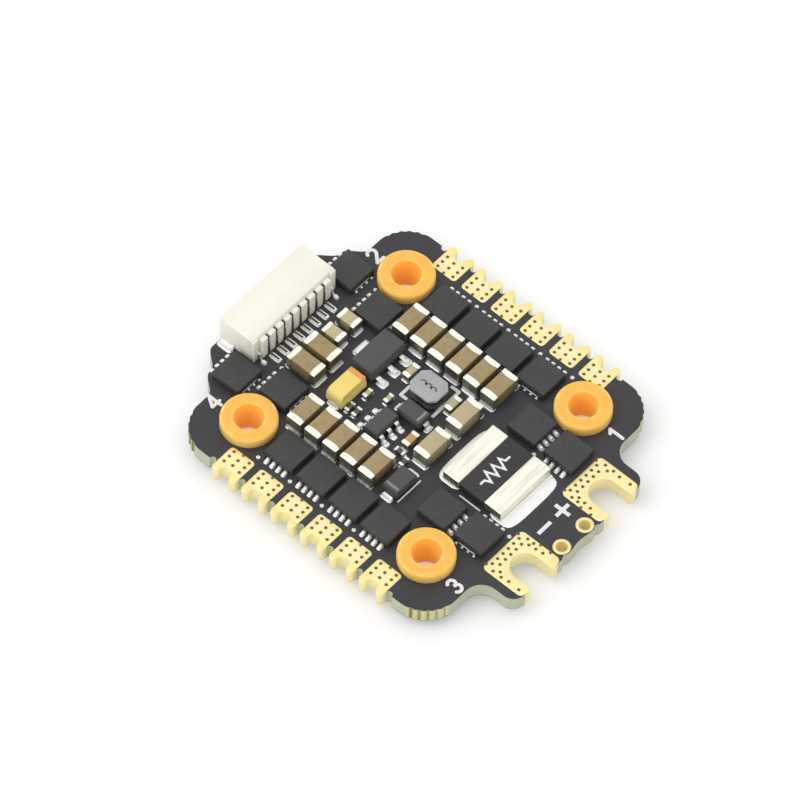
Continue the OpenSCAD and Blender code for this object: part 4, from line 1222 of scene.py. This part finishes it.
def chip_row(name, block_node, cap_node, finishes, bow, pick=None,
             round_end=0.1, fillet_share=0.26):
    """Ceramic blocks as one piece and their tinned ends as another; pick chooses each one's finish."""
    ends = solids(cap_node)
    block_mesh = bmesh.new()
    end_mesh = bmesh.new()
    for low, high in solids(block_node):
        middle = (low + high) / 2
        block(block_mesh, low, high, min(0.06, (high.z - low.z) * 0.08), 2, pick(low, high) if pick else 0)
        near = sorted(ends, key=lambda pair: ((pair[0] + pair[1]) / 2 - middle).length)[:2]
        for end_low, end_high in near:
            step = (end_low + end_high) / 2 - middle
            along = 0 if abs(step.x) > abs(step.y) else 1
            way = 1 if step[along] > 0 else -1
            end_cap(end_mesh, end_low, end_high, along, way, bow, round_end)
            fillet(end_mesh, end_low, end_high, along, way, (end_high.z - end_low.z) * fillet_share)
    make_piece(name, block_mesh, finishes, [block_node])
    make_piece(name + "_caps", end_mesh, [cap_tin, solder], [cap_node], 40)


for bank in ("right_bank", "left_bank"):
    chip_row(bank + "_blocks", bank + "_capacitors", bank + "_terminals", [brown_ceramic],
             0.09)


def small_is_buff(low, high):
    """The tall front blocks are brown and the low ones buff."""
    return 0 if high.z - low.z > 1.4 else 1


chip_row("front_blocks", "front_capacitors", "front_capacitor_terminals",
         [brown_ceramic, beige_ceramic], 0.07, small_is_buff)
rear_ceramic = finish("rear_ceramic", (168, 148, 104), (153, 131, 88), patch=700, spread=0.7,
                      gloss=(0.34, 0.5), tooth_depth=0.015, worn_and_lit=(198, 182, 146))
# Painted shade darkens its faces that stand up from the board too.
paint_side_shade(rear_ceramic, (120, 98, 62), 0.6)
chip_row("rear_blocks", "rear_capacitors", "rear_capacitor_terminals", [rear_ceramic],
         0.09)
rust_ceramic = finish("rust_ceramic", (196, 150, 92), (172, 124, 70), patch=900, spread=0.7,
                      gloss=(0.34, 0.5), worn_and_lit=(206, 166, 112))


def left_one_is_rust(low, high):
    """Only the small block left of the middle is rust brown."""
    return 1 if low.y < 0 and low.x < 0 else 0


chip_row("small_blocks", "small_capacitors", "small_capacitor_terminals",
         [beige_ceramic, rust_ceramic], 0.05, left_one_is_rust, round_end=0.06)
chip_row("underside_blocks", "underside_capacitors", "underside_capacitor_terminals",
         [beige_ceramic], 0.03, round_end=0.05)

# ---- Chip resistors ----
# Four small thick-film resistors: an alumina chip under black glaze with tinned ends,
# each soldered to its land with the solder drawn most of the way up.
glaze = finish("resistor_glaze", (60, 62, 70), (48, 50, 58), patch=3000, gloss=(0.25, 0.4),
               worn_and_lit=(96, 98, 104))
chip_row("resistor_chips", "chip_resistors", "chip_resistor_terminals", [glaze],
         0.02, round_end=0.04, fillet_share=0.8)

# ---- Solder lands ----
# Every land on both faces, tinned: solder lies over the copper in a low rounded skin.
# The long lands under the transistors' drains are wetted a little short of their edge.
drain_length, drain_breadth = 2.4, 0.8
drain_inset = Vector((0.12, 0.12, 0))
for face_name, way in (("top", 1), ("bottom", -1)):
    land_mesh = bmesh.new()
    for low, high in solids("solder_pads_" + face_name):
        run, breadth = high.x - low.x, high.y - low.y
        long_side, short_side = max(run, breadth), min(run, breadth)
        if abs(long_side - drain_length) < 0.02 and abs(short_side - drain_breadth) < 0.02:
            low, high = low + drain_inset, high - drain_inset
        foot = low.z if way > 0 else high.z
        crown = high.z + 0.004 if way > 0 else low.z - 0.004
        mound(land_mesh, (low.x, low.y, foot), (high.x, high.y, foot), crown, 0, 0.86, 4, 20)
    bmesh.ops.recalc_face_normals(land_mesh, faces=land_mesh.faces)
    make_piece(f"solder_lands_{face_name}", land_mesh, [solder],
               ["solder_pads_" + face_name], 50)

# ---- Underside chips ----
# Four microcontrollers and four gate drivers, flat no-lead packages soldered under the
# board beside the transistors they switch.
for node, name in (("microcontrollers", "controller_packages"), ("gate_drivers", "driver_packages")):
    chip_mesh = bmesh.new()
    for low, high in solids(node):
        block(chip_mesh, low, high, 0.04)
        spot(chip_mesh, (low.x + 0.45, low.y + 0.45), 0.16, low.z - 0.002, 20).normal_flip()
    dot_ink = finish(name + "_dot", (120, 120, 120), (98, 98, 98), patch=5000, gloss=(0.6, 0.8))
    make_piece(name, chip_mesh, [epoxy, dot_ink], [node])
